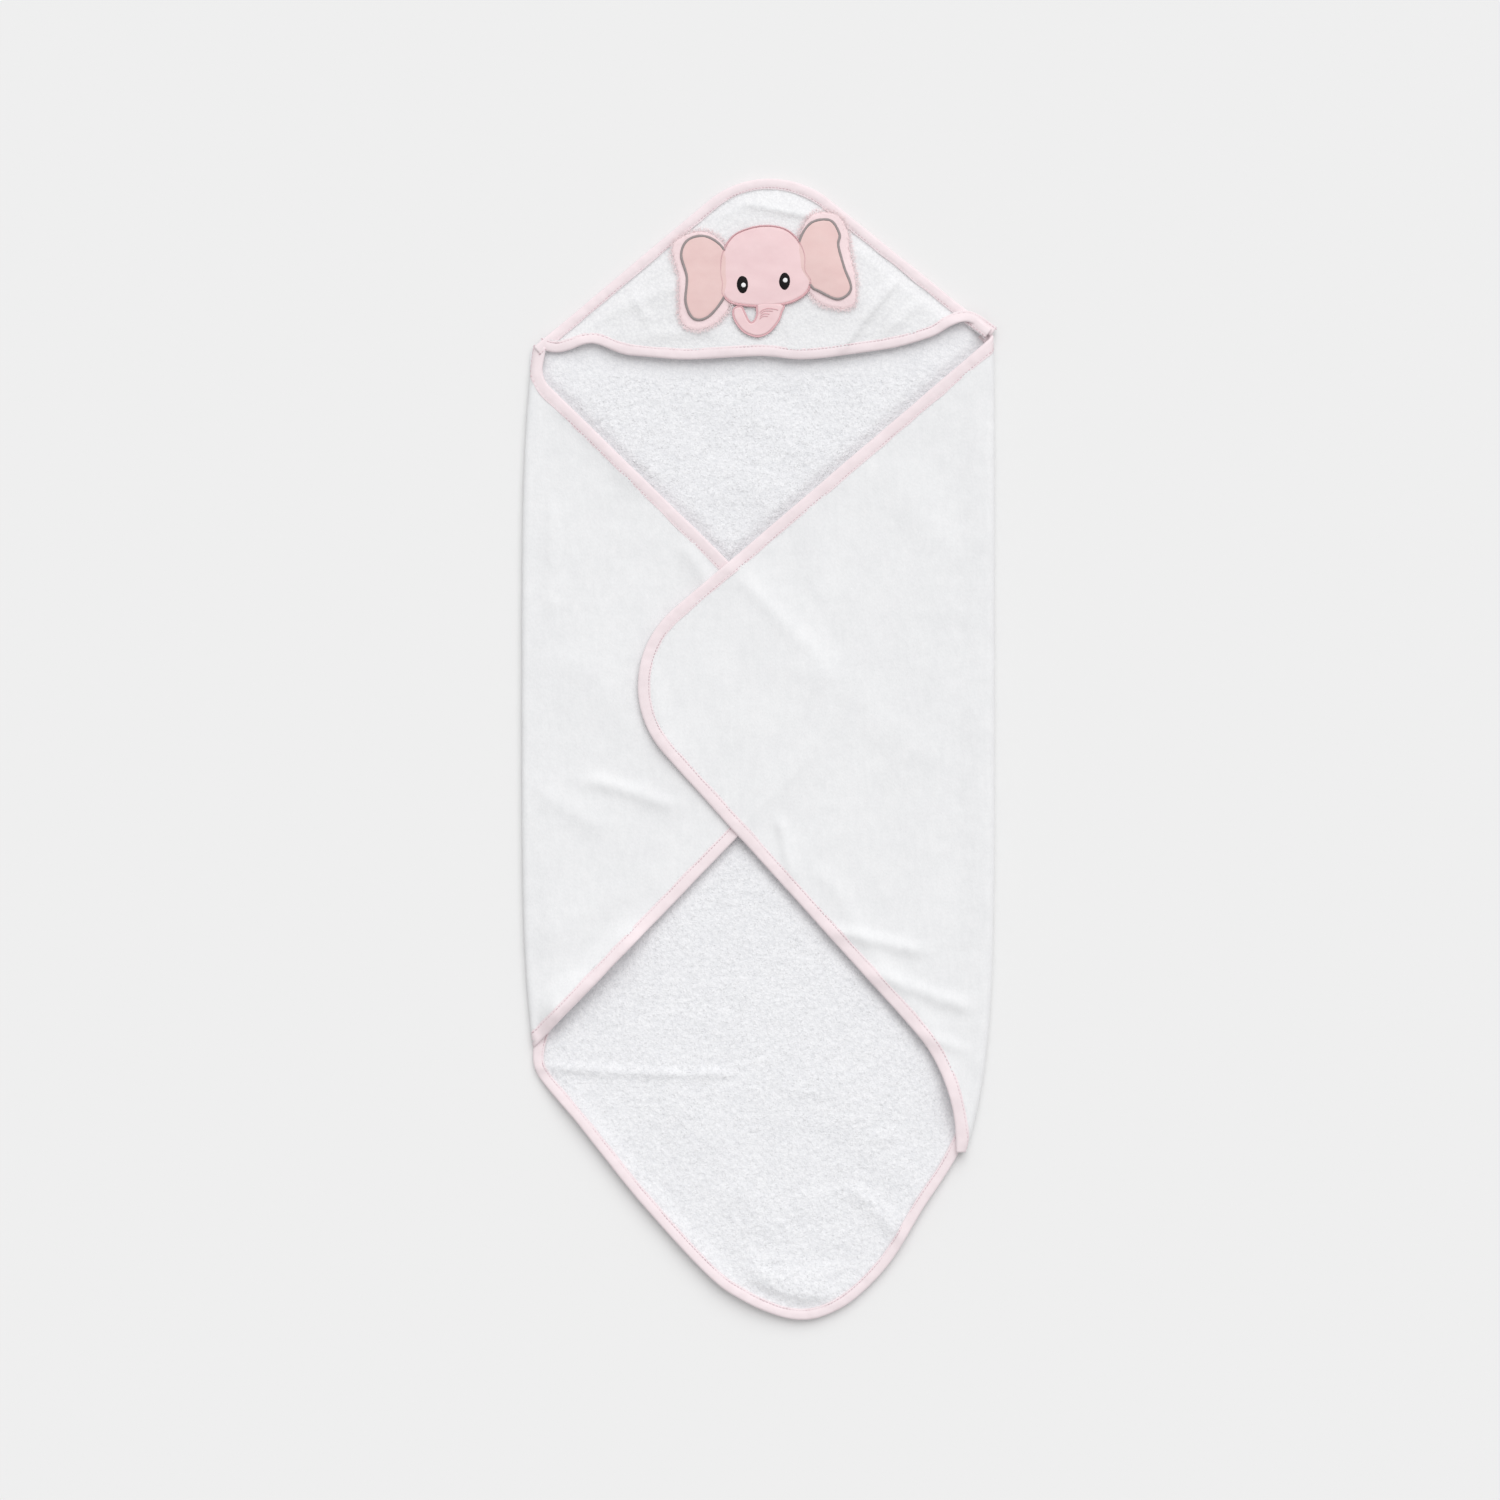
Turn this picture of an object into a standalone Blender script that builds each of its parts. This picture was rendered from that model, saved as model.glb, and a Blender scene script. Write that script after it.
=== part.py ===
"""Hooded baby towel, lying folded: a square of terry, bound all round, with a hood and an elephant's face.

The square lies on its diagonal. Its left corner is folded in, its right corner is folded over that,
and a triangle of terry sewn on the top corner makes the hood. +Y points to the hood, +Z up, and the
towel rests on z = 0. Sizes are in millimetres and become metres where the meshes are made.
"""

from math import atan2, ceil, cos, pi, radians, sin, sqrt, tan

import bmesh
import bpy
from mathutils import Vector

# The cloth
TOWEL_SIDE = 750.0  # the square, edge to edge
PILE = 4.0  # terry with its loops
CORNER_RADIUS = 78.0  # the square's rounded corners
GAP = 0.3  # between pieces that touch
DRAPE_GAP = 0.6  # between draped pieces, whose facets differ

# The fold
FOLD_X = 207.0  # from the middle to each side fold
CENTRE_SHIFT = 22.0  # the square's middle lies to the right of the folds' middle
SHOULDER_LIFT = 27.0  # the top corner is spread, so that its shoulders lie higher
LEFT_HEEL_LIFT = 61.0  # the left fold stops short of a true square's
RIGHT_HEEL_DROP = 30.0  # the right fold runs on below it
CREASE_DROP = 14.0  # the hood turns up along a crease this far below the shoulders

# The bias binding and its seams
BINDING_WIDTH = 8.5
BINDING_WALL = 0.4  # one layer of tape
BINDING_EDGE = 0.6  # tape at the turned edge
THREAD_WIDTH = 0.7
THREAD_HEIGHT = 0.4
SEAM_INSET = 1.6  # from the binding's inner edge to the seam

# The hood
HOOD_LIFT = 5.2  # how far the hood stands off the towel under it
HOOD_SLOPE = 38.0  # over this width it rises from its seams
HOOD_FLAT = 20.0  # beside the seams it lies flat

# The applique
BACKING_HEIGHT = 1.6
FACE_HEIGHT = 0.8
HEAD_HEIGHT = 1.6
OUTLINE_WIDTH = 1.6
EYE_HEIGHT = 0.8
GLINT_HEIGHT = 0.3
GLINT_RADIUS = 1.9
EYE_SIZE = (4.8, 7.1)

# Fineness
ARC_STEP = 12.0  # degrees
DRAPE_CELL = 12.0  # the grid in which draped pieces bend
MERGE = 2e-6  # metres

# Worked out from the above
HALF_DIAGONAL = TOWEL_SIDE / sqrt(2)
CORNER_RISE = HALF_DIAGONAL - FOLD_X  # where the edge of a true square meets the fold
SHOULDER_Y = CORNER_RISE + SHOULDER_LIFT
CREASE_Y = SHOULDER_Y - CREASE_DROP
LEFT_HEEL_Y = LEFT_HEEL_LIFT - CORNER_RISE
RIGHT_HEEL_Y = -CORNER_RISE - RIGHT_HEEL_DROP
HOOD_SCALE = FOLD_X / 207.0  # the hood and its face are as wide as the folded towel
CORE_INSET = BINDING_WIDTH + GAP
RIM_INSET = BINDING_EDGE + GAP
RIM_HEIGHT = PILE - THREAD_HEIGHT - 3 * GAP - 2 * BINDING_WALL  # terry pressed flat in the tape
RIM_LOW = BINDING_WALL + GAP
BINDING_HEIGHT = RIM_HEIGHT + 2 * RIM_LOW
HOOD_RIM_LOW = RIM_LOW + RIM_HEIGHT + GAP
HOOD_BINDING_HEIGHT = BINDING_HEIGHT + RIM_HEIGHT + GAP
LAYER = PILE + GAP
LEFT_WING_Z = LAYER
RIGHT_WING_Z = 2 * LAYER
HOOD_Z = LAYER
HOOD_TOP = HOOD_Z + PILE

LEFT_AXIS_Z = LAYER - GAP / 2
RIGHT_AXIS_Z = (RIGHT_WING_Z + PILE) / 2
HOOD_AXIS_Z = RIGHT_WING_Z + PILE + GAP

WHITE = (240, 241, 242)
INSIDE_WHITE = (233, 233, 235)
BINDING_PINK = (241, 226, 230)
THREAD_PINK = (235, 214, 220)
BACKING_PINK = (240, 215, 218)
EAR_PINK = (231, 200, 200)
HEAD_PINK = (239, 211, 217)
SATIN_PINK = (236, 190, 200)
OUTLINE_GREY = (130, 121, 121)
EYE_BLACK = (36, 31, 33)
GLINT_WHITE = (250, 250, 250)


# Outlines -------------------------------------------------------------------------------------------


def rounded(corners, step=ARC_STEP):
    """A path through (x, y, radius) corners, turned with arcs; the first and last have no radius."""
    points = []
    for i, (x, y, radius) in enumerate(corners):
        here = Vector((x, y))
        if radius == 0:
            points.append(here)
            continue
        back = (Vector(corners[i - 1][:2]) - here).normalized()
        on = (Vector(corners[i + 1][:2]) - here).normalized()
        half = back.angle(on) / 2
        centre = here + (back + on).normalized() * radius / sin(half)
        first = here + back * radius / tan(half) - centre
        turn = (pi - 2 * half) * (1 if back.cross(on) < 0 else -1)
        count = max(2, ceil(abs(turn) / radians(step)))
        start = atan2(first.y, first.x)
        for k in range(count + 1):
            angle = start + turn * k / count
            points.append(centre + radius * Vector((cos(angle), sin(angle))))
    return points


def curve(points, closed=False, pieces=3):
    """A smooth path through a few points."""
    points = [Vector(p) for p in points]
    count = len(points)
    path = []
    for i in range(count if closed else count - 1):
        if closed:
            a, b, c, d = (points[(i + k) % count] for k in (-1, 0, 1, 2))
        else:
            a, b = points[max(i - 1, 0)], points[i]
            c, d = points[i + 1], points[min(i + 2, count - 1)]
        for k in range(pieces):
            t = k / pieces
            path.append(0.5 * (2 * b + (c - a) * t + (2 * a - 5 * b + 4 * c - d) * t * t
                               + (3 * b - a - 3 * c + d) * t**3))
    if not closed:
        path.append(points[-1])
    return path


def evenly(path, spacing):
    """The same path with more points, at most a spacing apart."""
    result = [path[0]]
    for a, b in zip(path, path[1:]):
        count = max(1, ceil((b - a).length / spacing))
        result += [a.lerp(b, (k + 1) / count) for k in range(count)]
    return result


def normals(path, closed=False):
    """At each point, the direction to the left of travel, lengthened at bends."""
    count = len(path)
    result = []
    for i in range(count):
        before = path[i] - path[i - 1] if closed or i > 0 else path[1] - path[0]
        after = path[(i + 1) % count] - path[i] if closed or i < count - 1 else before
        left = before.normalized() + after.normalized()
        left = Vector((-left.y, left.x)).normalized()
        straight = Vector((-before.y, before.x)).normalized()
        result.append(left / max(left.dot(straight), 0.5))
    return result


def parallel(path, distance, closed=False):
    """The path moved to the left of its direction of travel."""
    return [p + n * distance for p, n in zip(path, normals(path, closed))]


def ellipse(x, y, rx, ry, count=20):
    return [Vector((x + rx * cos(2 * pi * k / count), y + ry * sin(2 * pi * k / count)))
            for k in range(count)]


def on_hood(points):
    """Points of the hood's own drawing, from the middle of the line between its shoulders."""
    return [(x * HOOD_SCALE, SHOULDER_Y + y * HOOD_SCALE, *rest) for x, y, *rest in points]


def left_side(y):
    """The left fold, which draws in a little at its ends."""
    middle = (SHOULDER_Y + LEFT_HEEL_Y) / 2
    half = (SHOULDER_Y - LEFT_HEEL_Y) / 2
    return -(FOLD_X - 10.0 * abs((y - middle) / half) ** 4)


def right_side(y):
    """The right fold, which rounds in at its lower end."""
    top = SHOULDER_Y * 0.3
    return FOLD_X - 26.0 * min(1.0, (abs(y - top) / (top - RIGHT_HEEL_Y))) ** 6


def side_points(side, low, high, count=14):
    return [Vector((side(low + (high - low) * k / count), low + (high - low) * k / count))
            for k in range(count + 1)]


# Each path runs with its cloth on the left.
BOTTOM_PATH = rounded([(-FOLD_X - 4, LEFT_HEEL_Y + 5, 0), (CENTRE_SHIFT + 10, -HALF_DIAGONAL - 24, 90),
                       (FOLD_X - 14, RIGHT_HEEL_Y + 14, 0)])
LEFT_WING_PATH = rounded([(-FOLD_X - 4, LEFT_HEEL_Y - 6, 0),
                          (HALF_DIAGONAL - 2 * FOLD_X - CENTRE_SHIFT + 4, 40, CORNER_RADIUS),
                          (-FOLD_X - 4, SHOULDER_Y + 6, 0)])
RIGHT_WING_PATH = rounded([(FOLD_X + 4, SHOULDER_Y + 14, 0),
                           (2 * FOLD_X - HALF_DIAGONAL - CENTRE_SHIFT - 5, 63, CORNER_RADIUS + 10),
                           (FOLD_X - 42, RIGHT_HEEL_Y + 78, 70), (FOLD_X - 23, RIGHT_HEEL_Y - 10, 0)])
HOOD_CORNERS = on_hood([(218, 7.4, 0), (9, 174, 83), (-209, -9, 0)])
HOOD_ENDS = (-197 * HOOD_SCALE, 206 * HOOD_SCALE)  # the shoulders
HOOD_PATH = rounded(HOOD_CORNERS)
HEM_PATH = evenly(curve(on_hood([(-210, -6), (-168, 1), (-144, 4), (-104, -6), (-60, -9.5), (0, -6.5),
                                 (40, -9.5), (88, -2), (134, 7), (165, 19), (195, 33)])), DRAPE_CELL)

HEAD_PATH = curve(on_hood([(8, 108), (-24, 98), (-33, 82), (-31, 47), (-19, 37), (21, 36), (34, 42),
                           (46, 57), (39, 70), (39, 90), (25, 105)]), closed=True)
TRUNK_PATH = curve(on_hood([(21, 36), (0, 36), (-2, 25), (-5, 20), (-9, 26), (-14, 35), (-22, 34),
                            (-19, 25), (-14, 18), (-7, 12), (1, 10), (9, 11), (15, 17), (19, 25)]),
                   closed=True, pieces=2)
TRUNK_CREASES = {"trunk_crease_upper": [(4, 30), (11, 28), (18, 29)],
                 "trunk_crease_lower": [(4, 24), (9, 21), (15, 21)]}
EARS = {
    "left": {"face": [(-24, 68), (-31, 88), (-46, 98), (-61, 95), (-67, 82), (-62, 62), (-63, 40),
                      (-56, 26), (-43, 28), (-29, 46)],
             "backing": [(-24, 68), (-30, 92), (-49, 103), (-70, 96), (-75, 84), (-69, 62), (-68, 26),
                         (-54, 16), (-34, 24), (-24, 40)],
             "eye": (-12.6, 56.8), "glint": (-11.8, 56.1)},
    "right": {"face": [(34, 75), (46, 55), (53, 50), (70, 43), (81, 52), (75, 71), (70, 90), (71, 100),
                       (63, 112), (47, 110), (37, 96)],
              "backing": [(34, 75), (44, 50), (59, 37), (83, 37), (85, 62), (80, 88), (79, 100),
                          (70, 117), (48, 118), (36, 99)],
              "eye": (24.5, 59.6), "glint": (25.0, 60.2)},
}


def hood_rise(x, y):
    """How far the hood stands off the towel at a point."""
    rise = HOOD_LIFT
    for start, end in zip(HOOD_CORNERS, HOOD_CORNERS[1:]):
        along = Vector(end[:2]) - Vector(start[:2])
        inside = along.normalized().cross(Vector((x, y)) - Vector(start[:2]))
        share = min(1.0, max(0.0, (inside - HOOD_FLAT) / (HOOD_SLOPE * HOOD_SCALE)))
        rise *= share * share * (3 - 2 * share)
    return rise


# Solids ---------------------------------------------------------------------------------------------


def as_object(name, bm):
    bmesh.ops.recalc_face_normals(bm, faces=bm.faces)
    mesh = bpy.data.meshes.new(name)
    bm.to_mesh(mesh)
    bm.free()
    obj = bpy.data.objects.new(name, mesh)
    bpy.context.collection.objects.link(obj)
    return obj


def prism(name, outline, low, high):
    """A flat piece of cloth with this outline."""
    bm = bmesh.new()
    rings = [[bm.verts.new((p[0] * MM, p[1] * MM, z * MM)) for p in outline] for z in (low, high)]
    bm.faces.new(reversed(rings[0]))
    bm.faces.new(rings[1])
    for i in range(len(outline)):
        j = (i + 1) % len(outline)
        bm.faces.new((rings[0][i], rings[0][j], rings[1][j], rings[1][i]))
    return as_object(name, bm)


def strip(name, path, section, base=0.0, closed=False):
    """A band along a path; its section gives (distance in from the path, height)."""
    bm = bmesh.new()
    lines = [parallel(path, inset, closed) for inset, _ in section]
    rings = [[bm.verts.new((line[i].x * MM, line[i].y * MM, (base + z) * MM))
              for line, (_, z) in zip(lines, section)] for i in range(len(path))]
    for i in range(len(rings) if closed else len(rings) - 1):
        here, there = rings[i], rings[(i + 1) % len(rings)]
        for k in range(len(section)):
            m = (k + 1) % len(section)
            bm.faces.new((here[k], here[m], there[m], there[k]))
    if not closed:
        bm.faces.new(rings[0])
        bm.faces.new(rings[-1])
    return as_object(name, bm)


def combine(obj, other, operation):
    """Join, cut or keep what two solids share; the second one is used up."""
    modifier = obj.modifiers.new(operation.lower(), "BOOLEAN")
    modifier.operation = operation
    modifier.solver = "EXACT"
    modifier.object = other
    bpy.context.view_layer.update()
    graph = bpy.context.evaluated_depsgraph_get()
    obj.data = bpy.data.meshes.new_from_object(obj.evaluated_get(graph))
    obj.modifiers.clear()
    bpy.data.objects.remove(other)
    bm = bmesh.new()
    bm.from_mesh(obj.data)
    bmesh.ops.remove_doubles(bm, verts=bm.verts, dist=MERGE)
    bmesh.ops.triangulate(bm, faces=bm.faces)
    bm.to_mesh(obj.data)
    bm.free()
    return obj


def drape(obj):
    """Divide a flat piece into a grid and lay it over the hood."""
    bm = bmesh.new()
    bm.from_mesh(obj.data)
    for axis in (0, 1):
        values = [v.co[axis] / MM for v in bm.verts]
        for k in range(ceil(min(values) / DRAPE_CELL), ceil(max(values) / DRAPE_CELL)):
            place = Vector((0, 0, 0))
            place[axis] = k * DRAPE_CELL * MM
            facing = Vector((0, 0, 0))
            facing[axis] = 1
            bmesh.ops.bisect_plane(bm, geom=bm.verts[:] + bm.edges[:] + bm.faces[:], dist=1e-6,
                                   plane_co=place, plane_no=facing)
    bmesh.ops.triangulate(bm, faces=bm.faces)
    for vert in bm.verts:
        vert.co.z += hood_rise(vert.co.x / MM, vert.co.y / MM) * MM
    bm.to_mesh(obj.data)
    bm.free()
    return obj


def block(near, far, low, high):
    """A box-shaped section."""
    return [(near, low), (far, low), (far, high), (near, high)]


def channel(height):
    """The section of a tape folded over an edge."""
    inner, roof = BINDING_EDGE, height - BINDING_WALL
    return [(0, 0), (BINDING_WIDTH, 0), (BINDING_WIDTH, BINDING_WALL), (inner, BINDING_WALL),
            (inner, roof), (BINDING_WIDTH, roof), (BINDING_WIDTH, height), (0, height)]


def panel(name, path, others, base, frame, inset=CORE_INSET):
    """A panel of terry: full height inside, and pressed flat along the edge that the tape holds."""
    core = prism(name, parallel(path, inset) + others, base, base + PILE)
    band = block(RIM_INSET, inset + 1, RIM_LOW, RIM_LOW + RIM_HEIGHT)
    return combine(combine(core, strip("rim", path, band, base), "UNION"), frame(), "INTERSECT")


def binding(name, path, base, frame, height=BINDING_HEIGHT):
    return combine(strip(name, path, channel(height), base), frame(), "INTERSECT")


def stitching(name, path, base, frame, height=BINDING_HEIGHT):
    """A row of seam thread on the binding."""
    near = BINDING_WIDTH - SEAM_INSET - THREAD_WIDTH
    low = height + GAP
    row = block(near, near + THREAD_WIDTH, low, low + THREAD_HEIGHT)
    return combine(strip(name, path, row, base), frame(), "INTERSECT")


# What trims the pieces ------------------------------------------------------------------------------


def folded_frame():
    """Everything between the side folds and below the hood's crease."""
    top = CREASE_Y - GAP / 2
    right = side_points(right_side, RIGHT_HEEL_Y, top)
    left = side_points(left_side, LEFT_HEEL_Y, top)
    low = -HALF_DIAGONAL - 60
    outline = [Vector((left[0].x, low)), Vector((right[0].x, low))] + right + left[::-1]
    return prism("folded_frame", outline, -10, 60)


def hood_frame(inset=0.0):
    """Everything above the hood's crease, and inside the hood's edges by an inset."""
    low = CREASE_Y + GAP / 2
    if inset:
        edge = parallel(HOOD_PATH, inset)
        outline = [Vector((FOLD_X, CREASE_Y - 20))] + edge + [Vector((-FOLD_X, CREASE_Y - 20))]
    else:
        left, right = HOOD_ENDS
        high = HALF_DIAGONAL + 40
        outline = [Vector(p) for p in ((left, low), (right, low), (right, high), (left, high))]
    return prism("hood_frame", outline, -10, 60)


def inner_hood_frame():
    return hood_frame(CORE_INSET)


def head_cutter():
    """The head with its outline, a gap wider."""
    return prism("head_cutter", parallel(HEAD_PATH, -GAP, closed=True), -10, 60)


# The pieces -----------------------------------------------------------------------------------------


def back_pieces():
    others = [Vector((FOLD_X + 10, RIGHT_HEEL_Y + 16)), Vector((FOLD_X + 10, SHOULDER_Y)),
              Vector((-FOLD_X - 10, SHOULDER_Y)), Vector((-FOLD_X - 10, LEFT_HEEL_Y + 16))]
    return {"back_panel": panel("back_panel", BOTTOM_PATH, others, 0.0, folded_frame),
            "bottom_binding": binding("bottom_binding", BOTTOM_PATH, 0.0, folded_frame),
            "bottom_stitching": stitching("bottom_stitching", BOTTOM_PATH, 0.0, folded_frame)}


def wing_pieces(side, path, base, sign):
    """A wing lies between its bound edge and its fold."""
    outside = sign * (FOLD_X + 40)
    others = [Vector((outside, path[-1].y)), Vector((outside, path[0].y))]
    names = [f"{side}_wing_{kind}" for kind in ("panel", "binding", "stitching")]
    return {names[0]: panel(names[0], path, others, base, folded_frame),
            names[1]: binding(names[1], path, base, folded_frame),
            names[2]: stitching(names[2], path, base, folded_frame)}


def corner_pieces():
    """The towel's top corner, with the edge binding that holds it and the hood together."""
    low = CREASE_Y - 10
    others = [Vector((-FOLD_X - 5, low)), Vector((FOLD_X + 5, low))]
    inset = CORE_INSET + 1.7
    return {
        "corner_panel": panel("corner_panel", HOOD_PATH, others, 0.0, hood_frame, inset),
        "hood_edge_binding": binding("hood_edge_binding", HOOD_PATH, 0.0, hood_frame,
                                     HOOD_BINDING_HEIGHT),
        "hood_edge_stitching": stitching("hood_edge_stitching", HOOD_PATH, 0.0, hood_frame,
                                         HOOD_BINDING_HEIGHT)}


def hood_pieces():
    """The hood's own panel, from its seams to its bound hem, and the hem's tape and thread."""
    far = HALF_DIAGONAL + 40
    beyond = [Vector((FOLD_X + 20, far)), Vector((-FOLD_X - 20, far))]
    hood = prism("hood_panel", parallel(HEM_PATH, CORE_INSET) + beyond, HOOD_Z, HOOD_TOP)
    band = block(RIM_INSET, CORE_INSET + 1, RIM_LOW, RIM_LOW + RIM_HEIGHT)
    combine(hood, strip("hem_rim", HEM_PATH, band, HOOD_Z), "UNION")
    combine(hood, inner_hood_frame(), "INTERSECT")
    seam = block(RIM_INSET, CORE_INSET + 1, HOOD_RIM_LOW, HOOD_RIM_LOW + RIM_HEIGHT)
    rim = strip("seam_rim", HOOD_PATH, seam)
    above_hem = prism("above_hem", parallel(HEM_PATH, CORE_INSET) + beyond, -10, 60)
    combine(hood, combine(rim, above_hem, "INTERSECT"), "UNION")
    return {"hood_panel": drape(hood),
            "hood_hem_binding": drape(binding("hood_hem_binding", HEM_PATH, HOOD_Z, inner_hood_frame)),
            "hood_hem_stitching": drape(stitching("hood_hem_stitching", HEM_PATH, HOOD_Z,
                                                  inner_hood_frame))}


def ear_pieces(side, shape):
    """A plush backing, a face on it, and the embroidered line round the face."""
    backing = curve(on_hood(shape["backing"]), closed=True)
    face = curve(on_hood(shape["face"]), closed=True)
    low = HOOD_TOP + DRAPE_GAP
    top = low + BACKING_HEIGHT + DRAPE_GAP
    names = [f"{side}_ear_{kind}" for kind in ("backing", "face", "outline")]
    inner = parallel(face, OUTLINE_WIDTH + GAP, closed=True)
    solids = [prism(names[0], backing, low, low + BACKING_HEIGHT),
              prism(names[1], inner, top, top + FACE_HEIGHT),
              strip(names[2], face, block(0, OUTLINE_WIDTH, 0, FACE_HEIGHT), top, closed=True)]
    return {name: drape(combine(solid, head_cutter(), "DIFFERENCE"))
            for name, solid in zip(names, solids)}


def head_pieces():
    low = HOOD_TOP + DRAPE_GAP
    top = low + HEAD_HEIGHT + GAP
    inner = parallel(HEAD_PATH, OUTLINE_WIDTH + GAP, closed=True)
    outline = block(0, OUTLINE_WIDTH, 0, HEAD_HEIGHT)
    pieces = {"head_panel": prism("head_panel", inner, low, low + HEAD_HEIGHT),
              "head_outline": strip("head_outline", HEAD_PATH, outline, low, closed=True)}
    trunk = prism("trunk_panel", TRUNK_PATH, low, low + HEAD_HEIGHT)
    pieces["trunk_panel"] = combine(trunk, head_cutter(), "DIFFERENCE")
    for name, points in TRUNK_CREASES.items():
        row = block(-THREAD_WIDTH / 2, THREAD_WIDTH / 2, 0, THREAD_HEIGHT)
        pieces[name] = strip(name, curve(on_hood(points)), row, top)
    for side, shape in EARS.items():
        (x, y), (gx, gy) = on_hood([shape["eye"], shape["glint"]])
        rx, ry = (r * HOOD_SCALE for r in EYE_SIZE)
        glint = GLINT_RADIUS * HOOD_SCALE
        above = top + EYE_HEIGHT + GAP
        pieces[f"{side}_eye"] = prism(f"{side}_eye", ellipse(x, y, rx, ry), top, top + EYE_HEIGHT)
        pieces[f"{side}_eye_glint"] = prism(f"{side}_eye_glint", ellipse(gx, gy, glint, glint, 12),
                                            above, above + GLINT_HEIGHT)
    return {name: drape(piece) for name, piece in pieces.items()}


# Materials and assembly -----------------------------------------------------------------------------


def linear(value):
    value /= 255
    return value / 12.92 if value <= 0.04045 else ((value + 0.055) / 1.055) ** 2.4


def material(name, colour, roughness):
    finish = bpy.data.materials.new(name)
    finish.use_nodes = True
    shader = finish.node_tree.nodes["Principled BSDF"]
    shader.inputs["Base Color"].default_value = (*(linear(c) for c in colour), 1)
    shader.inputs["Roughness"].default_value = roughness
    shader.inputs["Metallic"].default_value = 0.0
    return finish


FINISHES = [("panel", WHITE, 0.95), ("binding", BINDING_PINK, 0.8), ("stitching", THREAD_PINK, 0.7),
            ("ear_backing", BACKING_PINK, 0.95), ("ear_face", EAR_PINK, 0.9),
            ("ear_outline", OUTLINE_GREY, 0.6), ("head_panel", HEAD_PINK, 0.75),
            ("head_outline", SATIN_PINK, 0.5), ("trunk_panel", HEAD_PINK, 0.75),
            ("crease", SATIN_PINK, 0.5), ("back_panel", INSIDE_WHITE, 0.95),
            ("corner_panel", INSIDE_WHITE, 0.95), ("eye", EYE_BLACK, 0.4), ("glint", GLINT_WHITE, 0.4)]


def finish_for(name):
    """The last finish whose word the piece's name holds."""
    word, colour, roughness = [row for row in FINISHES if row[0] in name][-1]
    return material(f"{name}_finish", colour, roughness)


def body(name, place, pieces):
    """Hang the pieces of one moving body on an empty that stands on its joint's axis."""
    empty = bpy.data.objects.new(name, None)
    bpy.context.collection.objects.link(empty)
    empty.location = Vector(place) * MM
    for piece in pieces.values():
        piece.parent = empty
        piece.location = -empty.location


def main():
    for old in list(bpy.data.objects):
        bpy.data.objects.remove(old)
    back = back_pieces()
    left = wing_pieces("left", LEFT_WING_PATH, LEFT_WING_Z, -1)
    right = wing_pieces("right", RIGHT_WING_PATH, RIGHT_WING_Z, 1)
    hood = {**corner_pieces(), **hood_pieces(), **head_pieces()}
    for side, shape in EARS.items():
        hood.update(ear_pieces(side, shape))
    for name, piece in {**back, **left, **right, **hood}.items():
        piece.data.materials.clear()
        piece.data.materials.append(finish_for(name))
    body("left_fold", (-FOLD_X, 0, LEFT_AXIS_Z), left)
    body("right_fold", (FOLD_X, 0, RIGHT_AXIS_Z), right)
    body("hood_crease", (0, CREASE_Y, HOOD_AXIS_Z), hood)


MM = 0.001
main()
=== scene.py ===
"""Hooded baby towel, lying folded: white terry bound in pale pink tape, with a plush elephant on its hood.

Lengths are in millimetres and become metres where a mesh is made. +Y points to the hood and +Z up.
Cloth is worked out flat, as (x, y, n), where n is the height above the face that lies lower at rest.
A "lay" then says where such a point goes once the towel is folded.
"""

from math import atan2, ceil, cos, hypot, pi, radians, sin, tan

import bpy
import numpy as np
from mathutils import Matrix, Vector


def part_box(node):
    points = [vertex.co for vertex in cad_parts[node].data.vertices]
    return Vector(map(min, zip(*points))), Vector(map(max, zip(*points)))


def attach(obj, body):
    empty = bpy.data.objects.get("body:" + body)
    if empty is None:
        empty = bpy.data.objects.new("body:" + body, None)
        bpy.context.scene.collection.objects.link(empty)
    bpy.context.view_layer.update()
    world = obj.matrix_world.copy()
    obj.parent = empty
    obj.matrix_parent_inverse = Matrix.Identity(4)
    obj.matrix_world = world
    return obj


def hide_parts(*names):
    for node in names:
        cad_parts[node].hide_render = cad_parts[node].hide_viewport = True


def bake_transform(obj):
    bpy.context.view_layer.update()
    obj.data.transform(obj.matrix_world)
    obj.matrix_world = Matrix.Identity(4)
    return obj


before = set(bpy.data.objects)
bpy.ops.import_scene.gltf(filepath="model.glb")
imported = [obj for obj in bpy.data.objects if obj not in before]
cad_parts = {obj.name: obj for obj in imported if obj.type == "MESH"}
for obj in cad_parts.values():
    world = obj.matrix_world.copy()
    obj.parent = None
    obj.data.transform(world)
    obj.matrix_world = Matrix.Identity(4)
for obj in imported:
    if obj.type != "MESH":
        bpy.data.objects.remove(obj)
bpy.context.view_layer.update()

MM = 0.001

# Places taken from the frame
FOLD_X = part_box("back_panel")[1].x / MM  # each side fold
CREASE_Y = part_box("corner_panel")[0].y / MM  # the hood turns up here
SHOULDER_Y = CREASE_Y + 13.85
LEFT_HEEL_Y = SHOULDER_Y - 612.66  # where the bottom edge meets each fold
RIGHT_HEEL_Y = SHOULDER_Y - 703.66
SPLIT_Y = CREASE_Y - 10.0  # the back's cloth hands over to the corner's

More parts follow.
